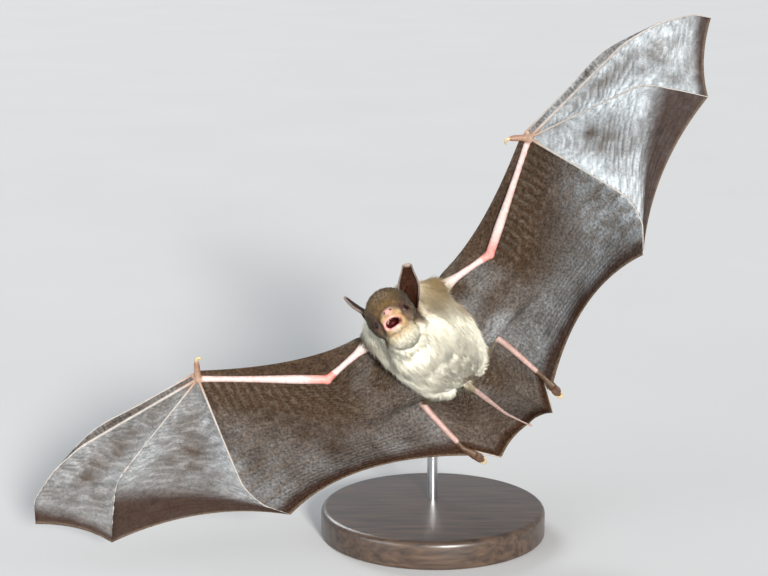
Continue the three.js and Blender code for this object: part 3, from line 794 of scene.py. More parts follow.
# Folds of each skin at (u, v) and the place p
def handFolds(u, v, p):
    fromMiddle = np.abs(u - 0.5)
    arcs = folded("arcs", v, 9 * fromMiddle**2 + 1.3 * slowWave(p) + 0.6 * midWave(p))
    arcs = arcs * smoothstep(v, 0.08, 0.3) * fading(v, 0.82, 0.95) * (0.7 + 0.7 * slowWave(p))
    barbs = folded("handBarbs", v, 3.5 * fromMiddle + 0.4 * midWave(p))
    barbs = barbs * smoothstep(fromMiddle, 0.2, 0.44) * smoothstep(v, 0.15, 0.4) * fading(v, 0.75, 0.9)
    return arcs + barbs + crinkles["hand"] * crinkle(p)


def armFolds(u, v, p):
    barbs = folded("armBarbs", v, 3 * (1 - u) + 0.4 * midWave(p))
    barbs = barbs * np.exp(-(((1 - u) / 0.26) ** 2)) * smoothstep(v, 0.12, 0.35)
    pleats = folded("pleats", u, 0.4 * slowWave(p)) * smoothstep(u, 0.3, 0.45)
    pleats = pleats * np.exp(-((v / 0.3) ** 2))
    long = folded("long", v, 1.6 * slowWave(p) + 2 * u) * fading(u, 0.3, 0.65)
    return (barbs + pleats + long + crinkles["arm"] * crinkle(p)) * fading(v, 0.84, 0.97)


def tailFolds(u, v, p):
    return folded("tailAcross", v, 0.6 * midWave(p)) + crinkles["tail"] * crinkle(p)


def plainFolds(u, v, p):
    return crinkles["plain"] * crinkle(p)


# cells across and down, folds, how far the darker hem reaches in, how much painted sheen it takes,
# where that painted sheen rises
panelStyle = {
    "front": {"cells": (56, 10), "folds": plainFolds, "hem": 0.0, "paintedSheen": 0.03, "sheenFrom": None},
    "edge": {"cells": (4, 60), "folds": plainFolds, "hem": 0.0, "paintedSheen": 0.45, "sheenFrom": None},
    "tip": {"cells": (16, 118), "folds": handFolds, "hem": 0.05, "paintedSheen": 0.78, "sheenFrom": None},
    "hand": {"cells": (20, 104), "folds": handFolds, "hem": 0.30, "paintedSheen": 0.85, "sheenFrom": None},
    "arm": {"cells": (84, 48), "folds": armFolds, "hem": 0.08, "paintedSheen": 0.34, "sheenFrom": (0.3, 1.0)},
    "tail": {"cells": (28, 32), "folds": tailFolds, "hem": 0.10, "paintedSheen": 0.08, "sheenFrom": (0.2, 0.8)},
}


def panelPoints(panel, style, u, v):
    p = stretched(panel, u, v)
    return p + panelNormal(panel, u, v) * style["folds"](u, v, p)[..., None]


# How far each skin turns to the pale bluish painted sheen between the fingers
def sheenShare(style, u, v, p):
    if style["sheenFrom"] is None:  # the hand: palest beside the fingers, halfway down
        beside = 0.35 + 0.65 * np.exp(-(((v - 0.52) / 0.26) ** 2)) * np.cos(2 * np.pi * u)
        return np.clip(0.5 + 0.6 * beside + 0.3 * midWave(p), 0, 1.15)
    # elsewhere the painted sheen rises towards the free edge, near the body and beside the fifth finger
    hem = smoothstep(v + 0.5 * np.abs(u - 0.5), *style["sheenFrom"])
    byBody = fading(u, 0.12, 0.45) * smoothstep(slowWave(p), -0.5, 0.5) * fading(v, 0.4, 0.7)
    byFinger = np.exp(-(((1 - u) / 0.15) ** 2)) * smoothstep(v, 0.15, 0.5)
    return (hem + 0.8 * byBody + 0.7 * byFinger) * (1 + 0.45 * slowWave(p) + 0.3 * midWave(p))


def wingColour(style, u, v, p, sideSheen):
    onHand = style["sheenFrom"] is None
    # the skin is painted pale bluish grey where light would shine on it: painted sheen
    paintedSheen = sideSheen * style["paintedSheen"] * sheenShare(style, u, v, p)
    tone = mix(tints["wing"][None], tints["wingSheen"], paintedSheen)
    crestHighlight = wing["crestHighlight"] * tone if onHand else tints["wingCrestHighlight"]
    # the folds' crests are painted paler: a painted highlight along each fold
    pale = smoothstep(style["folds"](u, v, p) + 0.05 * quickWave(p), -0.05, 0.13)
    colour = mix(tone, crestHighlight, 0.6 * pale)
    colour = colour * (1 + 0.14 * slowWave(p) + 0.10 * quickWave(p))[:, None]
    if style["hem"]:
        reach = style["hem"] * (1.0 - wing["hemNarrows"] * u if onHand else 1.0)
        hem = smoothstep(v + 0.02 * midWave(p), 1 - reach - 0.05, 1 - 0.6 * reach)
        colour = mix(colour, tints["wingEdge"], 0.92 * hem)
        colour = mix(colour, tints["wingRim"], 0.8 * smoothstep(v, 0.982, 1.0))
    return colour


def buildPanel(name, panel, style, sideSheen):
    bm = bmesh.new()
    across, down = style["cells"]
    bmesh.ops.create_grid(bm, x_segments=across, y_segments=down, size=1)
    bm.verts.ensure_lookup_table()
    co = np.array([v.co for v in bm.verts])
    u, v = (co[:, 0] + 1) / 2, (1 - co[:, 1]) / 2
    p = panelPoints(panel, style, u, v)
    wide, high = (lengths(panel[k][-1] - panel[k][0]) for k in ("bottom", "outer"))
    lieUv = np.stack([u * wide, v * high], -1) * wing["pattern"]
    lie = bm.loops.layers.uv.new("lie")
    marks = bm.verts.layers.float_color.new("marks")
    colours = wingColour(style, u, v, p, sideSheen)
    for vert, q, c in zip(bm.verts, p, colours):
        vert.co = q
        vert[marks] = (*c, 1)
    for f in bm.faces:
        for loop in f.loops:
            loop[lie].uv = lieUv[loop.vert.index]
    bmesh.ops.recalc_face_normals(bm, faces=bm.faces)
    count = len(bm.verts)
    bmesh.ops.solidify(bm, geom=bm.faces[:], thickness=wing["thickness"])
    # where the skin pinches at a fingertip its second face must not shoot out
    bm.verts.ensure_lookup_table()
    tree = KDTree(count)
    for i in range(count):
        tree.insert(bm.verts[i].co, i)
    tree.balance()
    for vert in bm.verts[count:]:
        nearest, _, distance = tree.find(vert.co)
        if distance > wing["pinch"] * wing["thickness"]:
            vert.co = nearest + (vert.co - nearest) * wing["thickness"] / distance
    return newObject(name, bm)


print("wings begin")
panels = {side: wingPanels(s, poses[side]) for side, s in sides.items()}
wingPieces = []
for side, group in panels.items():
    for name, panel in group.items():
        wingPieces.append(buildPanel(name + side, panel, panelStyle[name], wing["sideSheen"][side]))


def digitColour(p, wrist):
    pink = mix(tints["wrist"][None], tints["digit"], smoothstep(lengths(p - wrist), 1, 6.5))
    return pink * (1 + 0.1 * quickWave(p))[:, None]


fingerPieces = []
for side, s in sides.items():
    for name, radii in wing["digitRadii"].items():
        bm = bmesh.new()
        path = leadingEdge(s)[:wing["edgeRod"]] if name == "edge" else s[name + "Line"]
        drawnOut(bm, path, tapered(radii), 0.01, around=8, rings=56)
        finger = newObject(name + side, bm)
        paint(finger, digitColour(coordinates(finger.data), s["arm"][2]))
        fingerPieces.append(finger)

# ---- ears
ear = {
    "length": 13.0, "width": 2.9, "tip": 1.1, "cup": 1.5, "open": 0.55, "waist": 0.62,
    "taperFrom": 0.35, "lean": 0.12, "roundTip": 0.045, "thickness": 0.34, "rim": 0.15,
    "ridge": 0.055, "ridgeSpacing": 1.05, "rimTint": "earRimHighlight",
}
ears = {
    "left": {"base": (5.2, 1.6, -1.0), "back": -6, "splay": 26, "twist": 8, "cup": 1.5},
    "right": {"base": (-3.5, 1.6, 2.1), "back": 18, "splay": -29, "twist": -104, "cup": 0.9},
}
tragus = {
    **ear, "length": 6, "width": 0.85, "tip": 0.35, "cup": 0.15, "waist": 0.8,
    "thickness": 0.28, "rim": 0.09, "ridge": 0, "rimTint": "earRoot", "place": (0, -2.2, 1.2),
    "tilt": 16,
}


def leafPoints(leaf, u, t):
    bulge = leaf["waist"] + (1 - leaf["waist"]) * np.sin(np.pi * np.minimum(0.62, 0.775 * t))
    taper = 1 + (leaf["tip"] / leaf["width"] - 1) * smoothstep(t, leaf["taperFrom"], 1)
    drop = leaf["length"] * leaf["roundTip"] * u**2 * smoothstep(t, 0.8, 1)
    wrap = leaf["cup"] * (1 - leaf["open"] * t) * (1 - np.cos(u * np.pi / 2))
    ridge = leaf["ridge"] * wave(t * leaf["length"] / leaf["ridgeSpacing"]) * (1 - u**2)
    ridge = ridge * smoothstep(t, 0.05, 0.3) * fading(t, 0.8, 0.95)
    x = leaf["width"] * bulge * taper * np.sin(u * np.pi / 2)
    y = leaf["lean"] * leaf["length"] * t**2 - wrap + ridge
    return np.stack([x, y, t * leaf["length"] - drop], -1)


def buildLeaf(name, leaf, matrix, across=18, down=40):
    bm = bmesh.new()
    bmesh.ops.create_grid(bm, x_segments=across, y_segments=down, size=1)
    co = np.array([v.co for v in bm.verts])
    for vert, q in zip(bm.verts, leafPoints(leaf, co[:, 0], (co[:, 1] + 1) / 2)):
        vert.co = q
    bmesh.ops.recalc_face_normals(bm, faces=bm.faces)
    bmesh.ops.solidify(bm, geom=bm.faces[:], thickness=leaf["thickness"])
    side, end = np.linspace(0, 1, 60), np.linspace(-1, 1, 20)
    rim = np.vstack([
        leafPoints(leaf, np.full(60, -1.0), side),
        leafPoints(leaf, end, np.ones(20))[1:-1],
        leafPoints(leaf, np.full(60, 1.0), side[::-1]),
    ])
    drawnOut(bm, evened(rim), tapered((leaf["rim"],) * 2), 0.01, (0, 1, 0.02), around=8, rings=90)
    made = newObject(name, bm)
    p = coordinates(made.data)
    t = np.clip(p[:, 2] / leaf["length"], 0, 1)
    half = leafPoints(leaf, np.ones(len(t)), t)[:, 0]
    # the ears' rims and tip are painted paler, a painted highlight; the tragus's rim is painted brown
    rimness = smoothstep(np.abs(p[:, 0]) / half, 0.90, 1.0) * smoothstep(t, 0.12, 0.4)
    rimness = np.maximum(0.55 * rimness, smoothstep(t, 0.90, 0.97))
    colour = mix(tints["ear"][None], tints["earRoot"], 0.7 * smoothstep(fine(p * 2), -0.2, 1))
    paint(made, mix(colour, tints[leaf["rimTint"]], rimness))
    made.data.transform(matrix)
    return made


earPieces = []
for side, e in ears.items():
    matrix = (
        headMatrix
        @ Matrix.Translation(e["base"])
        @ turnAbout("Y", e["splay"])
        @ turnAbout("X", -e["back"])
        @ turnAbout("Z", e["twist"])
    )
    earPieces.append(buildLeaf("ear" + side, {**ear, "cup": e["cup"]}, matrix))
    matrix = matrix @ Matrix.Translation(tragus["place"]) @ turnAbout("X", -tragus["tilt"])
    earPieces.append(buildLeaf("tragus" + side, tragus, matrix, 8, 20))
print("wings and ears", len(wingPieces) + len(fingerPieces) + len(earPieces), "parts")


# ---- one skin over the whole bat
def fromSegment(p, a, b):
    t = np.clip((p - a) @ (b - a) / ((b - a) @ (b - a)), 0, 1)
    return lengths(p - a - t[:, None] * (b - a)), t


def faceColour(colour, h, p):
    out = fromMouth(h)
    forward = -h[:, 1]
    x, y, z = face["eye"]
    nose = smoothstep(forward + 0.35 * h[:, 2] + 0.3 * speck(p), 8.0, 8.8)
    colour = mix(colour, tints["muzzle"] * (1 + 0.12 * speck(p * 2))[:, None], nose)
    lip = mix(tints["lip"][None], tints["chin"], 0.6 * smoothstep(h[:, 0], 0.4, 2.0))
    colour = mix(colour, lip, fading(out, 1.35, 1.75) * smoothstep(forward, 4.6, 6.2))
    byEye = fromPair(h, (x + 0.45, y - 0.45, z))
    colour = mix(colour, tints["lid"], fading(byEye, 1.5, 2.4))
    # the nostrils are painted near black inside: painted shade in their openings
    nostril = fromPair(h, (face["nostril"], -10.35, -3.3))
    colour = mix(colour, tints["mouth"] * 0.5, fading(nostril, 0.3, 0.45))
    # the open mouth's lining is painted very dark red: its own red, darkened as painted shade inside
    # the mouth
    return mix(colour, tints["mouth"], fading(out, 1.03, 1.14))


def bodyColour(p):
    colour = coatColour(p) * trunk["skinShade"]
    h = toHead(p)
    inHead = headDistance(h) < 11.5
    colour[inHead] = faceColour(colour[inHead], h[inHead], p[inHead])

    # tint(t) runs along a limb from a to b, over the skin within `reach` of it
    def limb(a, b, tint, reach, shown=lambda t: 1):
        nonlocal colour
        near, t = fromSegment(p, a, b)
        # each limb is painted paler and bluish white down its front and pinker at its sides: a painted
        # highlight along the limb
        front = smoothstep(a[1] + t * (b[1] - a[1]) - p[:, 1], 0.0, 1.0)
        here = tint(t) * mix(np.array((0.92, 0.74, 0.72))[None], np.array((1.04, 1.08, 1.08)), front)
        colour = mix(colour, here, shown(t) * fading(near, reach - 0.6, reach))

    arm, red, shin = tints["arm"][None], tints["armRed"], tints["shin"][None]
    wrist, toe = tints["wrist"], tints["toe"]
    for s in sides.values():
        limb(*s["arm"][:2], lambda t: mix(arm, red, 0.5 * smoothstep(t, 0.88, 1.0)), 3.0,
             lambda t: smoothstep(t, 0.22, 0.40))
        limb(*s["arm"][1:], lambda t: mix(mix(red[None], arm, smoothstep(t, 0.02, 0.22)), wrist,
                                          0.8 * smoothstep(t, 0.94, 1.0)), 3.0)
        for a, b in zip(s["thumb"][:-1], s["thumb"][1:]):
            limb(a, b, lambda t: wrist * 0.8, 1.6)
        limb(*s["leg"][:2], lambda t: shin, 2.8, lambda t: smoothstep(t, 0.75, 0.95))
        limb(*s["leg"][1:], lambda t: mix(shin, toe, smoothstep(t, 0.84, 0.98)), 2.6)
        limb(*s["foot"], lambda t: toe[None] * (1 + 0.5 * fine(2 * p))[:, None], 2.8)
    onTail = fading(fromTail(p), 1.8, 2.4) * smoothstep(p[:, 1], 10.5, 12.5)
    colour = mix(colour, shin * 0.9, onTail)
    return colour * (1 + 0.08 * speck(p))[:, None]


# Shins, feet and thumbs, which have no thick coat
def bareBones(s):
    return (tuple(s["leg"][1:]), tuple(s["foot"]), tuple(s["thumb"][[0, 2]]))


# Where the body has no thick coat: on those, the forearms and the face
def underThinCoat(p):
    shown = lengths(toHead(p) - (0, -4, -3)) < 9.5
    for s in sides.values():
        for a, b in (tuple(s["arm"][1:]), *bareBones(s)):
            shown |= fromSegment(p, a, b)[0] < 3.2
    return shown


# The trunk's parts flow into each other
def softened(made, rounds):
    mesh = made.data
    p = coordinates(mesh)
    h = toHead(p)
    give = 0.5 * smoothstep(lengths(h - (0, -5, -2.5)), 6.4, 8.4)
    give = give * (~underThinCoat(p) | (lengths(h) < 14))
    for s in sides.values():
        for a, b in (s["arm"][:2], s["leg"][:2]):
            near, t = fromSegment(p, a, b)
            give = give * np.maximum(smoothstep(near, 2.5, 5.0), t < 0.3)
    give = give * smoothstep(fromTail(p, 24), 1.5, 4.0)
    pairs = np.empty(len(mesh.edges) * 2, np.int32)
    mesh.edges.foreach_get("vertices", pairs)
    ends = np.concatenate([pairs, pairs.reshape(-1, 2)[:, ::-1].ravel()])
    here, there = ends[::2], ends[1::2]
    links = np.bincount(here, minlength=len(p))[:, None]
    for _ in range(rounds):
        around = np.stack([np.bincount(here, q[there], len(p)) for q in p.T], -1) / links
        p = p + give[:, None] * (around - p)
    mesh.vertices.foreach_set("co", p.astype(np.float32).ravel())
    mesh.update()


# The trunk hides under the coat, so it needs fewer faces than face, hands and feet
def thinnedUnderCoat(made, keep):
    shown = underThinCoat(coordinates(made.data))
    group = made.vertex_groups.new(name="underCoat")
    group.add([int(i) for i in np.flatnonzero(~shown)], 1.0, "REPLACE")
    thin = made.modifiers.new("Thin", "DECIMATE")
    thin.ratio = keep
    thin.vertex_group = "underCoat"
    thin.vertex_group_factor = 10
    applied(made)
    made.vertex_groups.clear()


# ---- materials: in what goes into a node, a socket is linked and any other value is set
def feed(node, given):
    for name, value in given.items():
        if isinstance(value, bpy.types.NodeSocket):
            node.id_data.links.new(value, node.inputs[name])
        else:
            node.inputs[name].default_value = value


def addNode(m, kind, given, output=0, **settings):
    node = m.node_tree.nodes.new("ShaderNode" + kind)
    for name, value in settings.items():
        setattr(node, name, value)
    feed(node, given)
    return node.outputs[output]


def newMaterial(name):
    m = bpy.data.materials.new(name)
    m.use_nodes = True
    return m


def shaded(m, given):
    feed(m.node_tree.nodes["Principled BSDF"], given)
    return m


def objectPlace(m, stretch=None):
    place = addNode(m, "TexCoord", {}, "Object")
    return addNode(m, "Mapping", {"Vector": place, "Scale": stretch}) if stretch else place


def noiseAt(m, place, scale, detail, distortion=0.0, output="Fac"):
    given = {"Vector": place, "Scale": scale, "Detail": detail, "Distortion": distortion}
    return addNode(m, "TexNoise", given, output)


def ranged(m, value, low, high, start=0.0, end=1.0):
    given = {"Value": value, "From Min": start, "From Max": end, "To Min": low, "To Max": high}
    return addNode(m, "MapRange", given)


def times(m, colour, share):
    return addNode(m, "VectorMath", {0: colour, "Scale": share}, operation="SCALE")


# The painted marks, and the same made uneven by a fine noise
def unevenMarks(m, place, scale, low, high, detail=4):
    noise = noiseAt(m, place, scale, detail)
    marks = addNode(m, "Attribute", {}, "Color", attribute_name="marks")
    return marks, noise, times(m, marks, ranged(m, noise, low, high, 0.3, 0.7))


def bumped(m, sources, distance, strength=1.0):
    total = sources[0]
    for other in sources[1:]:
        total = addNode(m, "Math", {0: total, 1: other}, operation="ADD")
    return addNode(m, "Bump", {"Height": total, "Strength": strength, "Distance": distance})


# From a dark tone to a pale one where the source goes from one end to the other
def twoTone(m, source, dark, pale, ends=(0.3, 0.7)):
    ramp = m.node_tree.nodes.new("ShaderNodeValToRGB")
    for element, position, colour in zip(ramp.color_ramp.elements, ends, (dark, pale)):
        element.position = position
        element.color = (*colour, 1)
    feed(ramp, {"Fac": source})
    return ramp.outputs["Color"]


def simpleMaterial(name, colour, roughness, dark=None, scale=1500, depth=0.00003, coat=0.0,
                   specular=0.5):
    m = newMaterial(name)
    noise = noiseAt(m, objectPlace(m), scale, 5)
    return shaded(m, {
        "Base Color": twoTone(m, noise, dark or [c * 0.7 for c in colour], colour),
        "Normal": bumped(m, [noise], depth),
        "Roughness": roughness,
        "Coat Weight": coat,
        "Coat Roughness": 0.05,
        "Specular IOR Level": specular,
    })


def bareSkinMaterial():
    m = newMaterial("bareSkin")
    place = objectPlace(m)
    _, noise, colour = unevenMarks(m, place, 900, low=0.82, high=1.12)
    pores = addNode(m, "TexVoronoi", {"Vector": place, "Scale": 3600}, "Distance")
    return shaded(m, {
        "Base Color": colour,
        "Normal": bumped(m, [noise, pores], 0.00004),
        "Roughness": 0.55,
        "Specular IOR Level": 0.35,
        "Subsurface Weight": 0.22,
        "Subsurface Radius": (0.9, 0.35, 0.25),
        "Subsurface Scale": 0.0009,
        "Coat Weight": 0.04,
        "Coat Roughness": 0.3,
    })


def wingMaterial(name, specular, contrast):
    m = newMaterial(name)
    place = objectPlace(m)
    marks, _, colour = unevenMarks(m, place, 1500, 1 - contrast, 1 + contrast, detail=6)
    # a net of fine dark vessels, drawn out along the pull of the skin
    lie = addNode(m, "UVMap", {}, uv_map="lie")
    bend = noiseAt(m, lie, 14, 2, output="Color")
    bent = addNode(m, "VectorMath", {0: bend, 1: (0.09, 0.09, 0), 2: lie}, operation="MULTIPLY_ADD")
    pulled = addNode(m, "Mapping", {"Vector": bent, "Scale": (9, 17, 1)})
    net = addNode(m, "TexVoronoi", {"Vector": pulled}, "Distance", feature="DISTANCE_TO_EDGE")
    # fine wrinkles follow the pull between the bones
    wrinkles = {"Vector": lie, "Scale": 25, "Distortion": 5, "Detail": 2, "Detail Scale": 0.35}
    wrinkle = addNode(m, "TexWave", wrinkles, "Fac", wave_type="BANDS", bands_direction="Y")
    # the dark skin is matt, the pale skin between the fingers, painted with sheen, shines
    tone = addNode(m, "RGBToBW", {"Color": marks})
    return shaded(m, {
        "Base Color": times(m, colour, ranged(m, net, low=0.62, high=1.0, end=0.05)),
        "Normal": bumped(m, [wrinkle, noiseAt(m, place, 1300, 5)], 0.00009),
        "Roughness": ranged(m, tone, low=0.85, high=0.34, start=0.02, end=0.20),
        "Specular IOR Level": specular,
        "Specular Tint": (0.86, 0.94, 1.0, 1),
    })


def earMaterial():
    m = newMaterial("earSkin")
    _, noise, colour = unevenMarks(m, objectPlace(m), 1100, low=0.75, high=1.2)
    return shaded(m, {
        "Base Color": colour,
        "Normal": bumped(m, [noise], 0.0001),
        "Roughness": 0.5,
        "Specular IOR Level": 0.1,
        "Subsurface Weight": 0.1,
        "Subsurface Radius": (0.9, 0.3, 0.2),
        "Subsurface Scale": 0.0006,
    })


def furMaterial():
    m = newMaterial("softFur")
    return shaded(m, {
        "Base Color": unevenMarks(m, objectPlace(m), 260, low=0.90, high=1.08)[2],
        "Roughness": 0.72,
        "Specular IOR Level": 0.12,
        "Sheen Weight": 0.15,
        "Sheen Roughness": 0.45,
        "Sheen Tint": (1.0, 0.92, 0.74, 1),
    })


def woodMaterial():
    m = newMaterial("darkWood")
    grain = noiseAt(m, objectPlace(m, (60, 700, 700)), 1.0, 8, 0.6)
    dark, pale = (0.022, 0.013, 0.009), (0.075, 0.045, 0.028)
    return shaded(m, {
        "Base Color": twoTone(m, grain, dark, pale, (0.32, 0.68)),
        "Normal": bumped(m, [grain], 0.00005, 0.5),
        "Roughness": 0.38,
        "Coat Weight": 0.25,
        "Coat Roughness": 0.2,
    })


def steelMaterial():
    m = newMaterial("brushedSteel")
    scratch = noiseAt(m, objectPlace(m, (9000, 9000, 250)), 1.0, 3)
    dark, pale = (0.42, 0.43, 0.45), (0.62, 0.63, 0.64)
    return shaded(m, {
        "Base Color": twoTone(m, scratch, dark, pale, (0.0, 1.0)),
        "Roughness": ranged(m, scratch, low=0.24, high=0.40),
        "Metallic": 1.0,
    })


softened(body, trunk["softening"])
thinnedUnderCoat(body, trunk["underCoat"])
paint(body, bodyColour(coordinates(body.data)))
body.data.materials.clear()
bareSkin, earSkin = bareSkinMaterial(), earMaterial()
handSkin = wingMaterial("handSkin", specular=0.15, contrast=0.2)
armSkin = wingMaterial("armSkin", specular=0.05, contrast=0.5)
for pieces, material in (([body, *fingerPieces], bareSkin), (earPieces, earSkin)):
    for o in pieces:
        o.data.materials.append(material)
for o in wingPieces:
    o.data.materials.append(handSkin if o.name.startswith(("hand", "tip")) else armSkin)

furRoots = body.data.copy()  # the coat grows from this, still in the bat's frame
skin = settle(joinAll("skin", [body, *wingPieces, *fingerPieces, *earPieces]))
fleshNodes = ["trunk", "head", "lower_jaw", "tail"]
for name in ("upper_arm", "forearm", "wrist", "thumb", "digit_2", "digit_3", "digit_4", "digit_5",
             "leg", "foot", "calcar", "front_membrane", "membrane_3_4", "membrane_4_5",
             "wing_membrane", "tail_membrane", "ear", "tragus"):
    fleshNodes += [name + "_left", name + "_right"]
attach(skin, "root")
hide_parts(*fleshNodes)
print("skin", sum(len(f.vertices) - 2 for f in skin.data.polygons), "triangles")


# ---- eyes, tongue, teeth and claws
def addPiece(made, material, slot, *nodes, matrix=toWorld):
    settle(made, matrix)
    made.data.materials.clear()
    made.data.materials.append(material)
    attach(made, "root")
    if nodes:
        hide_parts(*nodes)
    return made


eyeGloss = simpleMaterial("eyeGloss", (0.009, 0.003, 0.0022), 0.08, depth=0.0, specular=0.25)
for side, s in (("left", 1), ("right", -1)):
    bm = bmesh.new()
    x, y, z = face["eye"]
    ball(bm, (s * x, y, z), (face["eyeRadius"],) * 3, matrix=headMatrix, around=32, rings=20)
    addPiece(newObject("eyeball_" + side, bm), eyeGloss, "eye", "eye_" + side)

tongueShape = {
    "path": ((-0.3, -3.8, -5.4), (-0.3, -5.4, -6.2), (-0.3, -6.8, -6.75), (-0.3, -7.5, -6.85)),
    "wide": (1.1, 1.2, 1.0, 0.55),
    "thick": (0.5, 0.5, 0.4, 0.25),
}
bm = bmesh.new()
drawnOut(bm, smoothLine(tongueShape["path"]), sized(tongueShape["wide"], tongueShape["thick"]),
         0.1, (0, 0, 1), headMatrix, 20, 20)
addPiece(newObject("wetTongue", bm), simpleMaterial("tongueWet", (0.30, 0.060, 0.050), 0.25, coat=0.5),
         "tongue", "tongue")

teeth = {  # place of each tooth's root in the head, and its height, mirrored to both sides
    "upper": ((1.05, -8.5, -4.95, 0.5), (0.34, -8.9, -5.0, 0.22), (1.4, -7.6, -4.85, 0.28),
              (1.6, -6.8, -4.8, 0.3)),
    "lower": ((0.85, -7.9, -7.25, -0.42), (0.28, -8.15, -7.35, -0.18), (1.1, -7.2, -6.95, -0.24),
              (1.3, -6.4, -6.65, -0.26)),
}
toothTip = 0.18  # its width against the root's
bm = bmesh.new()
for row in teeth.values():
    for x, y, z, high in row:
        for s in (1, -1):
            size = 0.13 + 0.1 * abs(high)
            place = headMatrix @ Matrix.Translation((s * x, y, z - high / 2 + 0.1 * high))
            low, top = (toothTip, 1) if high > 0 else (1, toothTip)
            bmesh.ops.create_cone(bm, cap_ends=True, segments=10, radius1=size * low,
                                  radius2=size * top, depth=abs(high), matrix=place)
bmesh.ops.bevel(bm, geom=bm.edges[:], offset=0.02, segments=1, profile=0.5, affect="EDGES",
                material=-1)
addPiece(newObject("toothRows", bm), simpleMaterial("enamel", (0.82, 0.78, 0.68), 0.25, coat=0.6), None)

claw = {
    "thumb": {"round": 0.9, "turn": 150, "radii": (0.52, 0.50, 0.42, 0.27, 0.07)},
    "toe": {"round": 0.75, "turn": 78, "radii": (0.24, 0.22, 0.16, 0.1, 0.03)},
}


# A claw leaves its root along `out` and turns towards `curl`
def hook(bm, root, out, curl, style):
    curl = unit(curl - out * (curl @ out))
    turn = np.radians(np.linspace(-20, style["turn"], 24))[:, None]
    path = root + style["round"] * (out * np.sin(turn) + curl * (1 - np.cos(turn)))
    drawnOut(bm, path, tapered(style["radii"]), 0.05, around=10, rings=20)


bm = bmesh.new()
for side, s in sides.items():
    thumbOut = unit(s["thumb"][2] - s["thumb"][1])
    hook(bm, s["thumb"][2], thumbOut, unit(s["arm"][1] - s["arm"][2]), claw["thumb"])
    for root, out, curl in toeClaws[side]:
        hook(bm, root, out, curl, claw["toe"])
addPiece(newObject("claws", bm), simpleMaterial("hornClaw", (0.46, 0.34, 0.17), 0.3, coat=0.3),
         "claw", "thumb_claw_left", "thumb_claw_right")
print("eyes, tongue, teeth and claws made")

# ---- the coat: thin closed tufts that follow its lie
coat = {
    "spacing": 0.172,       # between roots on the trunk, in millimetres
    "faceSpacing": 0.12,
    "girth": 0.062,
    "faceGirth": 0.036,
    "length": 4.8,
    "napeLength": 2.9,
    "lipLength": 0.6,
    "uneven": (0.72, 1.15),  # shortest and longest, as shares
    "lift": 0.24,           # how far tufts stand off the skin
    "headLift": 0.17,
    "unevenLift": (0.5, 1.45),
    "unevenTone": (0.88, 1.10),
    "ruffled": 0.17,        # how far tufts stray from the lie, each for itself
    "swirl": 0.14,          # and in broad swirls
    "clump": 0.75,          # how far tips draw together into locks
    "clumpSize": 1.15,
    "clumpLong": 2.2,
    "rootShade": 0.85,      # how dark a tuft is at its root
    "edgeHairs": 9000,      # thin hairs that run out over each side's skins
    "hairLength": (0.9, 3.4),  # the shortest, and how much more they have by the body
    "hairGirth": 0.42,      # against a tuft's
    "hairTone": 0.26,
    "unevenHair": (0.6, 1.2),
    "hairLift": (0.06, 0.22),
    "bakePatch": 0.0015,    # half the size of a tuft on the unwrap
    "perPiece": 32000,      # tufts
    "seed": 17,
}
coatRng = np.random.default_rng(coat["seed"])
print("coat begins")


def triangles(mesh):
    mesh.calc_loop_triangles()
    index = np.empty(len(mesh.loop_triangles) * 3, np.int32)
    mesh.loop_triangles.foreach_get("vertices", index)
    return coordinates(mesh)[index.reshape(-1, 3)]


# Length and width of the tufts, and how far they lift off the skin, at points on it
def coatMeasures(p, h, limbs):
    headness = fading(headDistance(h), 8.6, 10.6)
    length = coat["length"] + 0.5 * broad(p)
    rump = smoothstep(-p[:, 2], 17, 23)
    length = length * (1 - 0.5 * rump)
    # on the head from long at the nape to very short at the lips
    forward = smoothstep(-h[:, 1] - 0.10 * h[:, 2], 0.0, 7.2)
    headLength = coat["napeLength"] + (coat["lipLength"] - coat["napeLength"]) * forward
    headLength = headLength * (0.45 + 0.55 * smoothstep(fromMouth(h), 1.6, 3.4))
    length = length + (headLength - length) * headness
    onFace = headness * smoothstep(forward, 0.1, 0.7)
    girth = coat["girth"] + (coat["faceGirth"] - coat["girth"]) * onFace
    lift = coat["lift"] + (coat["headLift"] - coat["lift"]) * headness
    for near, t, arm in limbs:
        on = fading(near, 2.4, 4.2)
        ends = 3.4 - 2.8 * smoothstep(t, 0.02, 0.42) if arm else 2.8 - 1.2 * smoothstep(t, 0.2, 0.9)
        length = length + (ends - length) * on * smoothstep(t, 0.0, 0.16)
    return length, girth, lift


# Share of the coat that grows: none on face, hands and feet, thinning towards their edges
def coatGrows(p, h):
    grows = 1 - faceBare(h)
    for s in sides.values():
        grows *= fromSegment(p, *s["arm"][1:])[0] >= 2.3
        for a, b in bareBones(s):
            grows *= fromSegment(p, a, b)[0] >= 2.6
        for limb, reach, thins, gone in (("arm", 2.9, 0.24, 0.42), ("leg", 2.6, 0.80, 0.97)):
            near, t = fromSegment(p, *s[limb][:2])
            grows *= 1 - (near < reach) * smoothstep(t, thins, gone)
    grows *= 1 - (fromTail(p, 8, 6) < 2.4) * smoothstep(p[:, 1], 10.5, 12)
    return coatRng.random(len(p)) < grows


# 1 where the face is bare: nose, lips, mouth, eyes
def faceBare(h):
    out = fromMouth(h)
    forward = -h[:, 1]
    x, y, z = face["eye"]
    bare = np.maximum(fading(out, 1.5, 1.8) * (forward > 4.6), out < 1.1)
    bare = np.maximum(bare, smoothstep(forward + 0.35 * h[:, 2], 8.0, 8.6))
    bare = np.maximum(bare, fromPair(h, (x + 0.25, y - 0.85, z), (1.0, 1.45, 0.95)) < 1.08)
    return bare * (lengths(h) < 13)


# The part of a direction that lies in the skin
def laidOn(normal, lie):
    return lie - normal * np.sum(lie * normal, 1)[:, None]


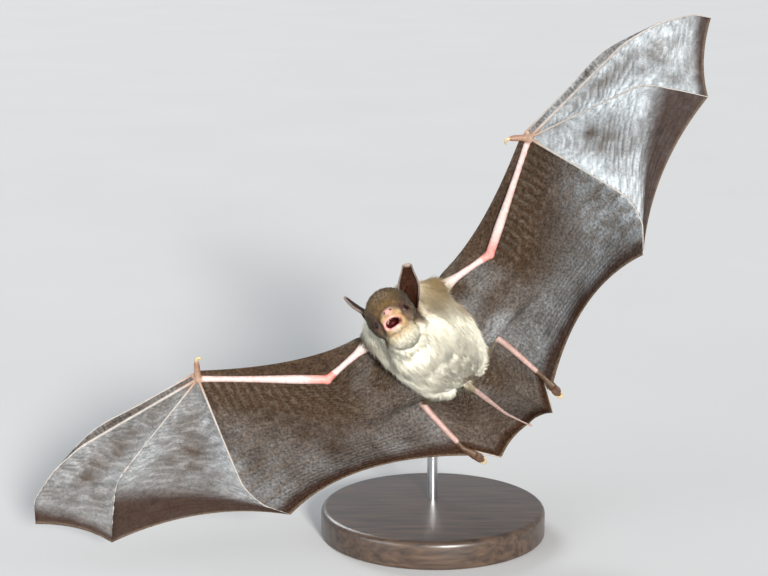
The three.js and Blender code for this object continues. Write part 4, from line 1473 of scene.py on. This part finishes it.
# Which way the coat lies
def coatLie(p, n, h, limbs):
    lie = np.stack([0.10 * p[:, 0] / 8, 0 * p[:, 0], -np.ones(len(p))], -1)
    flank = smoothstep(np.abs(p[:, 0]), 7, 14) * smoothstep(p[:, 2], -16, -2)
    lie[:, 0] += 0.5 * np.sign(p[:, 0]) * flank
    headLie = unit(h - (0, -9.6, -4.2)) @ np.array(headMatrix)[:3, :3].T
    lie = mix(lie, headLie, fading(headDistance(h), 7.5, 11.5))
    for (near, t, _), (a, b, _) in zip(limbs, limbAxes):
        lie = mix(lie, unit(b - a)[None], fading(near, 2.2, 5.5) * smoothstep(t, 0.08, 0.4))
    return unit(laidOn(n, lie))


limbAxes = [(*s[limb][:2], limb == "arm") for s in sides.values() for limb in ("arm", "leg")]


# where the bands of the coat's unwrap start, and how high they are
bands = {"trunk": (0.02, 0.42), "head": (0.55, 0.28), "limbs": (0.86, 0.1248)}


# Where a root lies on an unwrap of the body: trunk, head and limbs one above the other
def unwrapped(p, h, limbs):
    def within(band, share):
        start, size = bands[band]
        return start + size * share

    def turned(across, front):
        return np.arctan2(across, front) / (2 * np.pi)

    uv = np.empty((len(p), 2))
    uv[:, 0] = 0.5 + 0.96 * turned(p[:, 0], -(p[:, 1] + 0.28 * p[:, 2] + 2))
    uv[:, 1] = within("trunk", np.clip((9 - p[:, 2]) / 42, 0, 1))
    inHead = headDistance(h) < 9.6
    q = h[inHead]
    uv[inHead, 0] = 0.5 + 0.96 * turned(q[:, 0], q[:, 2] + 2)
    uv[inHead, 1] = within("head", np.clip((q[:, 1] + 10) / 18, 0, 1))
    for k, (near, t, arm) in enumerate(limbs):
        on = (near < 3.6) & (t > 0.3) & ~inHead
        a, b, _ = limbAxes[k]
        axis = unit(b - a)
        side = unit(np.cross(axis, (0, 1, 0)))
        front = np.cross(side, axis)
        r = p[on] - a
        uv[on, 0] = 0.02 + 0.24 * k + 0.22 * t[on]
        uv[on, 1] = within("limbs", turned(r @ side, r @ front) + 0.5)
    return np.clip(uv, 0.003, 0.997)


def tuftTemplate():
    bm = bmesh.new()
    bmesh.ops.create_uvsphere(bm, u_segments=3, v_segments=2, radius=1)
    bm.verts.ensure_lookup_table()
    bm.verts.index_update()
    co = np.array([v.co for v in bm.verts])
    # turned round, because side, normal and lie stand left-handed to each other in buildTufts
    faces = [[v.index for v in f.verts][::-1] for f in bm.faces]
    bm.free()
    thickest = 0.3
    t = np.where(co[:, 2] < -0.5, 0.0, np.where(co[:, 2] > 0.5, 1.0, thickest))
    angle = np.arctan2(co[:, 1], co[:, 0])
    girth = t == thickest
    return t, girth * np.cos(angle), girth * np.sin(angle), faces


tuftT, tuftX, tuftY, tuftFaces = tuftTemplate()


def buildTufts(name, root, normal, lie, length, girth, lift, colour, uv):
    count, verts = len(root), len(tuftT)
    side = np.cross(lie, normal)
    t = tuftT[None, :, None]
    out = length[:, None, None] * (
        lie[:, None] * (t * (1 - 0.10 * t))
        + normal[:, None] * (lift[:, None, None] * t * (1.25 - 0.55 * t) - 0.05)
    )
    p = root[:, None] + out
    p = p + side[:, None] * (girth[:, None] * tuftX)[..., None]
    p = p + normal[:, None] * (girth[:, None] * tuftY)[..., None]
    p = moved(toWorld, p.reshape(-1, 3))
    corner = np.concatenate([np.array(f) for f in tuftFaces])
    sizes = np.array([len(f) for f in tuftFaces])
    loops = (np.arange(count)[:, None] * verts + corner).ravel()
    starts = np.concatenate([[0], np.cumsum(np.tile(sizes, count))[:-1]])
    mesh = bpy.data.meshes.new(name)
    mesh.vertices.add(count * verts)
    mesh.vertices.foreach_set("co", p.astype(np.float32).ravel())
    mesh.loops.add(len(loops))
    mesh.loops.foreach_set("vertex_index", loops.astype(np.int32))
    mesh.polygons.add(count * len(sizes))
    mesh.polygons.foreach_set("loop_start", starts.astype(np.int32))
    mesh.polygons.foreach_set("use_smooth", np.ones(count * len(sizes), bool))
    shade = coat["rootShade"] + (1 - coat["rootShade"]) * smoothstep(tuftT, -0.15, 0.8)
    colours = (colour[:, None] * shade[None, :, None]).reshape(-1, 3)
    mesh.update()
    mesh.validate()
    patch = np.stack([tuftX, tuftT * 2 - 1], -1) * coat["bakePatch"]
    perVert = (uv[:, None] + patch[None]).reshape(-1, 2)
    bake = mesh.uv_layers.new(name="OFBake")
    bake.data.foreach_set("uv", perVert[loops].astype(np.float32).ravel())
    made = placed(name, mesh)
    paint(made, colours)
    return made


def scattered(mesh, spacing, weight):
    tri = triangles(mesh)
    normal = np.cross(tri[:, 1] - tri[:, 0], tri[:, 2] - tri[:, 0])
    chance = lengths(normal) / 2 * weight(tri.mean(1))
    count = int(chance.sum() / spacing**2)
    pick = coatRng.choice(len(tri), count, p=chance / chance.sum())
    a, b = coatRng.random((2, count, 1))
    flip = a + b > 1
    a, b = np.where(flip, 1 - a, a), np.where(flip, 1 - b, b)
    t = tri[pick]
    return t[:, 0] + a * (t[:, 1] - t[:, 0]) + b * (t[:, 2] - t[:, 0]), unit(normal[pick])


# Tips draw together into locks; each lock has a tone and a lift of its own
def clumped(root, lie, normal, length, lift):
    centres = root[coatRng.random(len(root)) < (coat["spacing"] / coat["clumpSize"]) ** 2]
    long = (1, 1, coat["clumpLong"])
    tree = KDTree(len(centres))
    for i, c in enumerate(centres / long):
        tree.insert(c, i)
    tree.balance()
    nearest = np.array([tree.find(r)[1] for r in root / long])
    toCentre = laidOn(normal, (centres[nearest] - root) / long)
    tone, raised = coatRng.uniform((0.82, 0.6), (1.07, 1.4), (len(centres), 2))[nearest].T
    return unit(lie + coat["clump"] * toCentre / length[:, None]), lift * raised, tone


def density(p):
    h = toHead(p)
    onFace = fading(lengths(h - (0, -3, -2)), 5.5, 8.5)
    return 1 + ((coat["spacing"] / coat["faceSpacing"]) ** 2 - 1) * onFace


# Thin hairs near the body on both faces of the wings' and the tail's skins
edgeHairs = {  # the most u and v that they reach, how fast they thin out, where they are unwrapped
    "arm": {"reach": (0.30, 0.62), "thin": (0.13, 0.5), "share": 0.50, "band": 0.47},
    "tail": {"reach": (1.0, 0.40), "thin": (2.0, 0.2), "share": 0.30, "band": 0.50},
    "front": {"reach": (0.36, 1.0), "thin": (0.16, 2.0), "share": 0.20, "band": 0.53},
}


def hairsOverSkins():
    parts = []
    for side, group in panels.items():
        for name, style in edgeHairs.items():
            count = int(coat["edgeHairs"] * style["share"])
            uAt, vAt = coatRng.random((2, count)) * np.array(style["reach"])[:, None]
            thinning = np.exp(-uAt / style["thin"][0] - vAt / style["thin"][1])
            kept = coatRng.random(count) < thinning
            uAt, vAt = uAt[kept], vAt[kept]
            panel = group[name]
            place = panelPoints(panel, panelStyle[name], uAt, vAt)
            outward = panelNormal(panel, uAt, vAt)
            outward = outward * np.where(coatRng.random(len(uAt)) < 0.5, 1, -1)[:, None]
            ahead = stretched(panel, np.minimum(uAt + 0.02, 1), np.minimum(vAt + 0.02, 1))
            lie = unit(ahead - place)
            shortest, more = coat["hairLength"]
            long = shortest + more * thinning[kept]
            bandStart = 0.02 if side == "left" else 0.52
            uv = np.stack([bandStart + 0.46 * uAt, style["band"] + 0.02 * vAt], -1)
            parts.append((place + outward * wing["thickness"] / 2, outward, lie, long, uv))
    return [np.concatenate(column) for column in zip(*parts)]


def spread(lie, normal, root):
    swirl = coat["swirl"] * broad(root + 40)[:, None] * np.cross(lie, normal)
    return unit(laidOn(normal, lie + coat["ruffled"] * coatRng.normal(size=lie.shape) + swirl))


root, normal = scattered(furRoots, coat["spacing"], density)
h = toHead(root)
grows = coatGrows(root, h)
root, normal, h = root[grows], normal[grows], h[grows]
limbs = [(*fromSegment(root, a, b), arm) for a, b, arm in limbAxes]
length, girth, lift = coatMeasures(root, h, limbs)
length = length * coatRng.uniform(*coat["uneven"], len(root))
lift = lift * coatRng.uniform(*coat["unevenLift"], len(root))
lie = spread(coatLie(root, normal, h, limbs), normal, root)
lie, lift, tone = clumped(root, lie, normal, length, lift)
uv = unwrapped(root, h, limbs)

hairRoot, hairNormal, hairLie, hairLength, hairUv = hairsOverSkins()
hairs = len(hairRoot)
tufts = (root, normal, lie, length, girth, lift, tone, uv)
thinHairs = (
    hairRoot,
    hairNormal,
    spread(hairLie, hairNormal, hairRoot),
    hairLength * coatRng.uniform(*coat["unevenHair"], hairs),
    np.full(hairs, coat["hairGirth"] * coat["girth"]),
    coatRng.uniform(*coat["hairLift"], hairs),
    np.full(hairs, coat["hairTone"]),
    hairUv,
)
root, normal, lie, length, girth, lift, tone, uv = map(np.concatenate, zip(tufts, thinHairs))
h = toHead(root)
colour = coatColour(root + lie * (0.55 * length)[:, None])
tone = tone * coatRng.uniform(*coat["unevenTone"], len(root))
colour = np.clip(colour * tone[:, None], 0, 0.98)

softFur = furMaterial()
onHead, onBack = headDistance(h) < 9.8, normal[:, 1] > 0.15
zones = {"coat_head": onHead, "coat_back": ~onHead & onBack, "coat_belly": ~onHead & ~onBack}
made = 0
for zoneName, within in zones.items():
    members = np.flatnonzero(within)
    members = members[np.argsort(-root[members, 2])]
    parts = max(1, math.ceil(len(members) / coat["perPiece"]))
    for k, chosen in enumerate(np.array_split(members, parts)):
        those = (a[chosen] for a in (root, normal, lie, length, girth, lift, colour, uv))
        piece = buildTufts(f"{zoneName}_{k + 1}", *those)
        piece.data.materials.append(softFur)
        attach(piece, "root")
        made += len(chosen)
print("coat", made, "tufts")

# ---- stand
stand = {"radius": 0.032, "height": 0.008, "topBevel": 0.0016, "footBevel": 0.0008,
         "rodRadius": 0.0015, "rodBehind": 0.008, "socketDepth": 0.005, "straight": 0.025,
         "bend": 0.009, "lean": 0.35, "dip": 0.0008, "end": (0.6, 12, -12)}
bm = bmesh.new()
r, h = stand["radius"], stand["height"]
corner = [bm.verts.new(p) for p in ((0, 0, 0), (r, 0, 0), (r, 0, h), (0, 0, h))]
profile = [bm.edges.new(pair) for pair in zip(corner[:-1], corner[1:])]
bmesh.ops.spin(bm, geom=corner + profile, cent=(0, 0, 0), axis=(0, 0, 1), angle=2 * math.pi,
               steps=120, use_merge=True)
bmesh.ops.remove_doubles(bm, verts=bm.verts, dist=1e-7)
for level, width in ((h, stand["topBevel"]), (0, stand["footBevel"])):
    rimEdges = [
        e for e in bm.edges
        if all(abs(v.co.z - level) < 1e-6 and v.co.xy.length > r * 0.99 for v in e.verts)
    ]
    bmesh.ops.bevel(bm, geom=rimEdges, offset=width, segments=5, profile=0.5, affect="EDGES",
                    material=-1)
addPiece(newObject("turnedBase", bm), woodMaterial(), "stand_wood", "stand_base",
         matrix=Matrix.Identity(4))

rodEnd = np.array(toWorld @ Vector(stand["end"]))
rodLine = smoothLine(
    (
        (0, stand["rodBehind"], h - stand["socketDepth"]),
        (0, stand["rodBehind"], stand["straight"]),
        (0, stand["rodBehind"], rodEnd[2] - stand["bend"]),
        (rodEnd[0] * stand["lean"], stand["rodBehind"] - stand["bend"] * stand["lean"],
         rodEnd[2] - stand["dip"]),
        rodEnd,
    ),
    0.35, 241,
)
bm = bmesh.new()
drawnOut(bm, rodLine, tapered((stand["rodRadius"],) * 2), 0.004, around=28, rings=90)
addPiece(newObject("bentRod", bm), steelMaterial(), "stand_steel", "stand_rod",
         matrix=Matrix.Identity(4))

# ---- floor, light and camera
studio = {
    "floor": 12.0,
    "target": (-0.014, -0.016, 0.075),
    "distance": 0.52,
    "elevation": 12,
    "lens": 89.94,
    "air": {"Color": (0.90, 0.94, 1.0, 1), "Strength": 0.52},
    "lights": {  # from where, how strong, how wide in degrees, and the colour
        "keyLight": ((0.25, -0.92, 0.28), 6.6, 9, (1.0, 0.98, 0.95)),
        "fillLight": ((-0.80, -0.58, 0.16), 2.2, 45, (0.88, 0.95, 1.0)),
        "rimLight": ((-0.5, 0.8, 0.7), 1.4, 25, (0.93, 0.97, 1.0)),
    },
}
bm = bmesh.new()
bmesh.ops.create_grid(bm, x_segments=2, y_segments=2, size=studio["floor"])
floor = newObject("floor", bm)
paleFloor = simpleMaterial("paleFloor", (0.49, 0.485, 0.48), 0.85, dark=(0.475, 0.47, 0.465),
                           scale=8, depth=0.0)
floor.data.materials.append(paleFloor)

world = bpy.data.worlds.new("paleRoom")
bpy.context.scene.world = world
world.use_nodes = True
feed(world.node_tree.nodes["Background"], studio["air"])
bpy.context.scene.view_settings.view_transform = "Standard"


def aimed(made, place, direction):
    made.location = place
    made.rotation_euler = direction.to_track_quat("-Z", "Y").to_euler()


for name, (source, strength, width, shine) in studio["lights"].items():
    sun = bpy.data.lights.new(name, "SUN")
    sun.energy = strength
    sun.angle = math.radians(width)
    sun.color = shine
    aimed(placed(name, sun), source, -Vector(source))

elevation = math.radians(studio["elevation"])
back = Vector((0, -math.cos(elevation), math.sin(elevation)))
lens = bpy.data.cameras.new("camera")
lens.lens = studio["lens"]
lens.sensor_width = 36
lens.clip_start = 0.01
camera = placed("camera", lens)
aimed(camera, Vector(studio["target"]) + back * studio["distance"], -back)
bpy.context.scene.camera = camera

print("done")
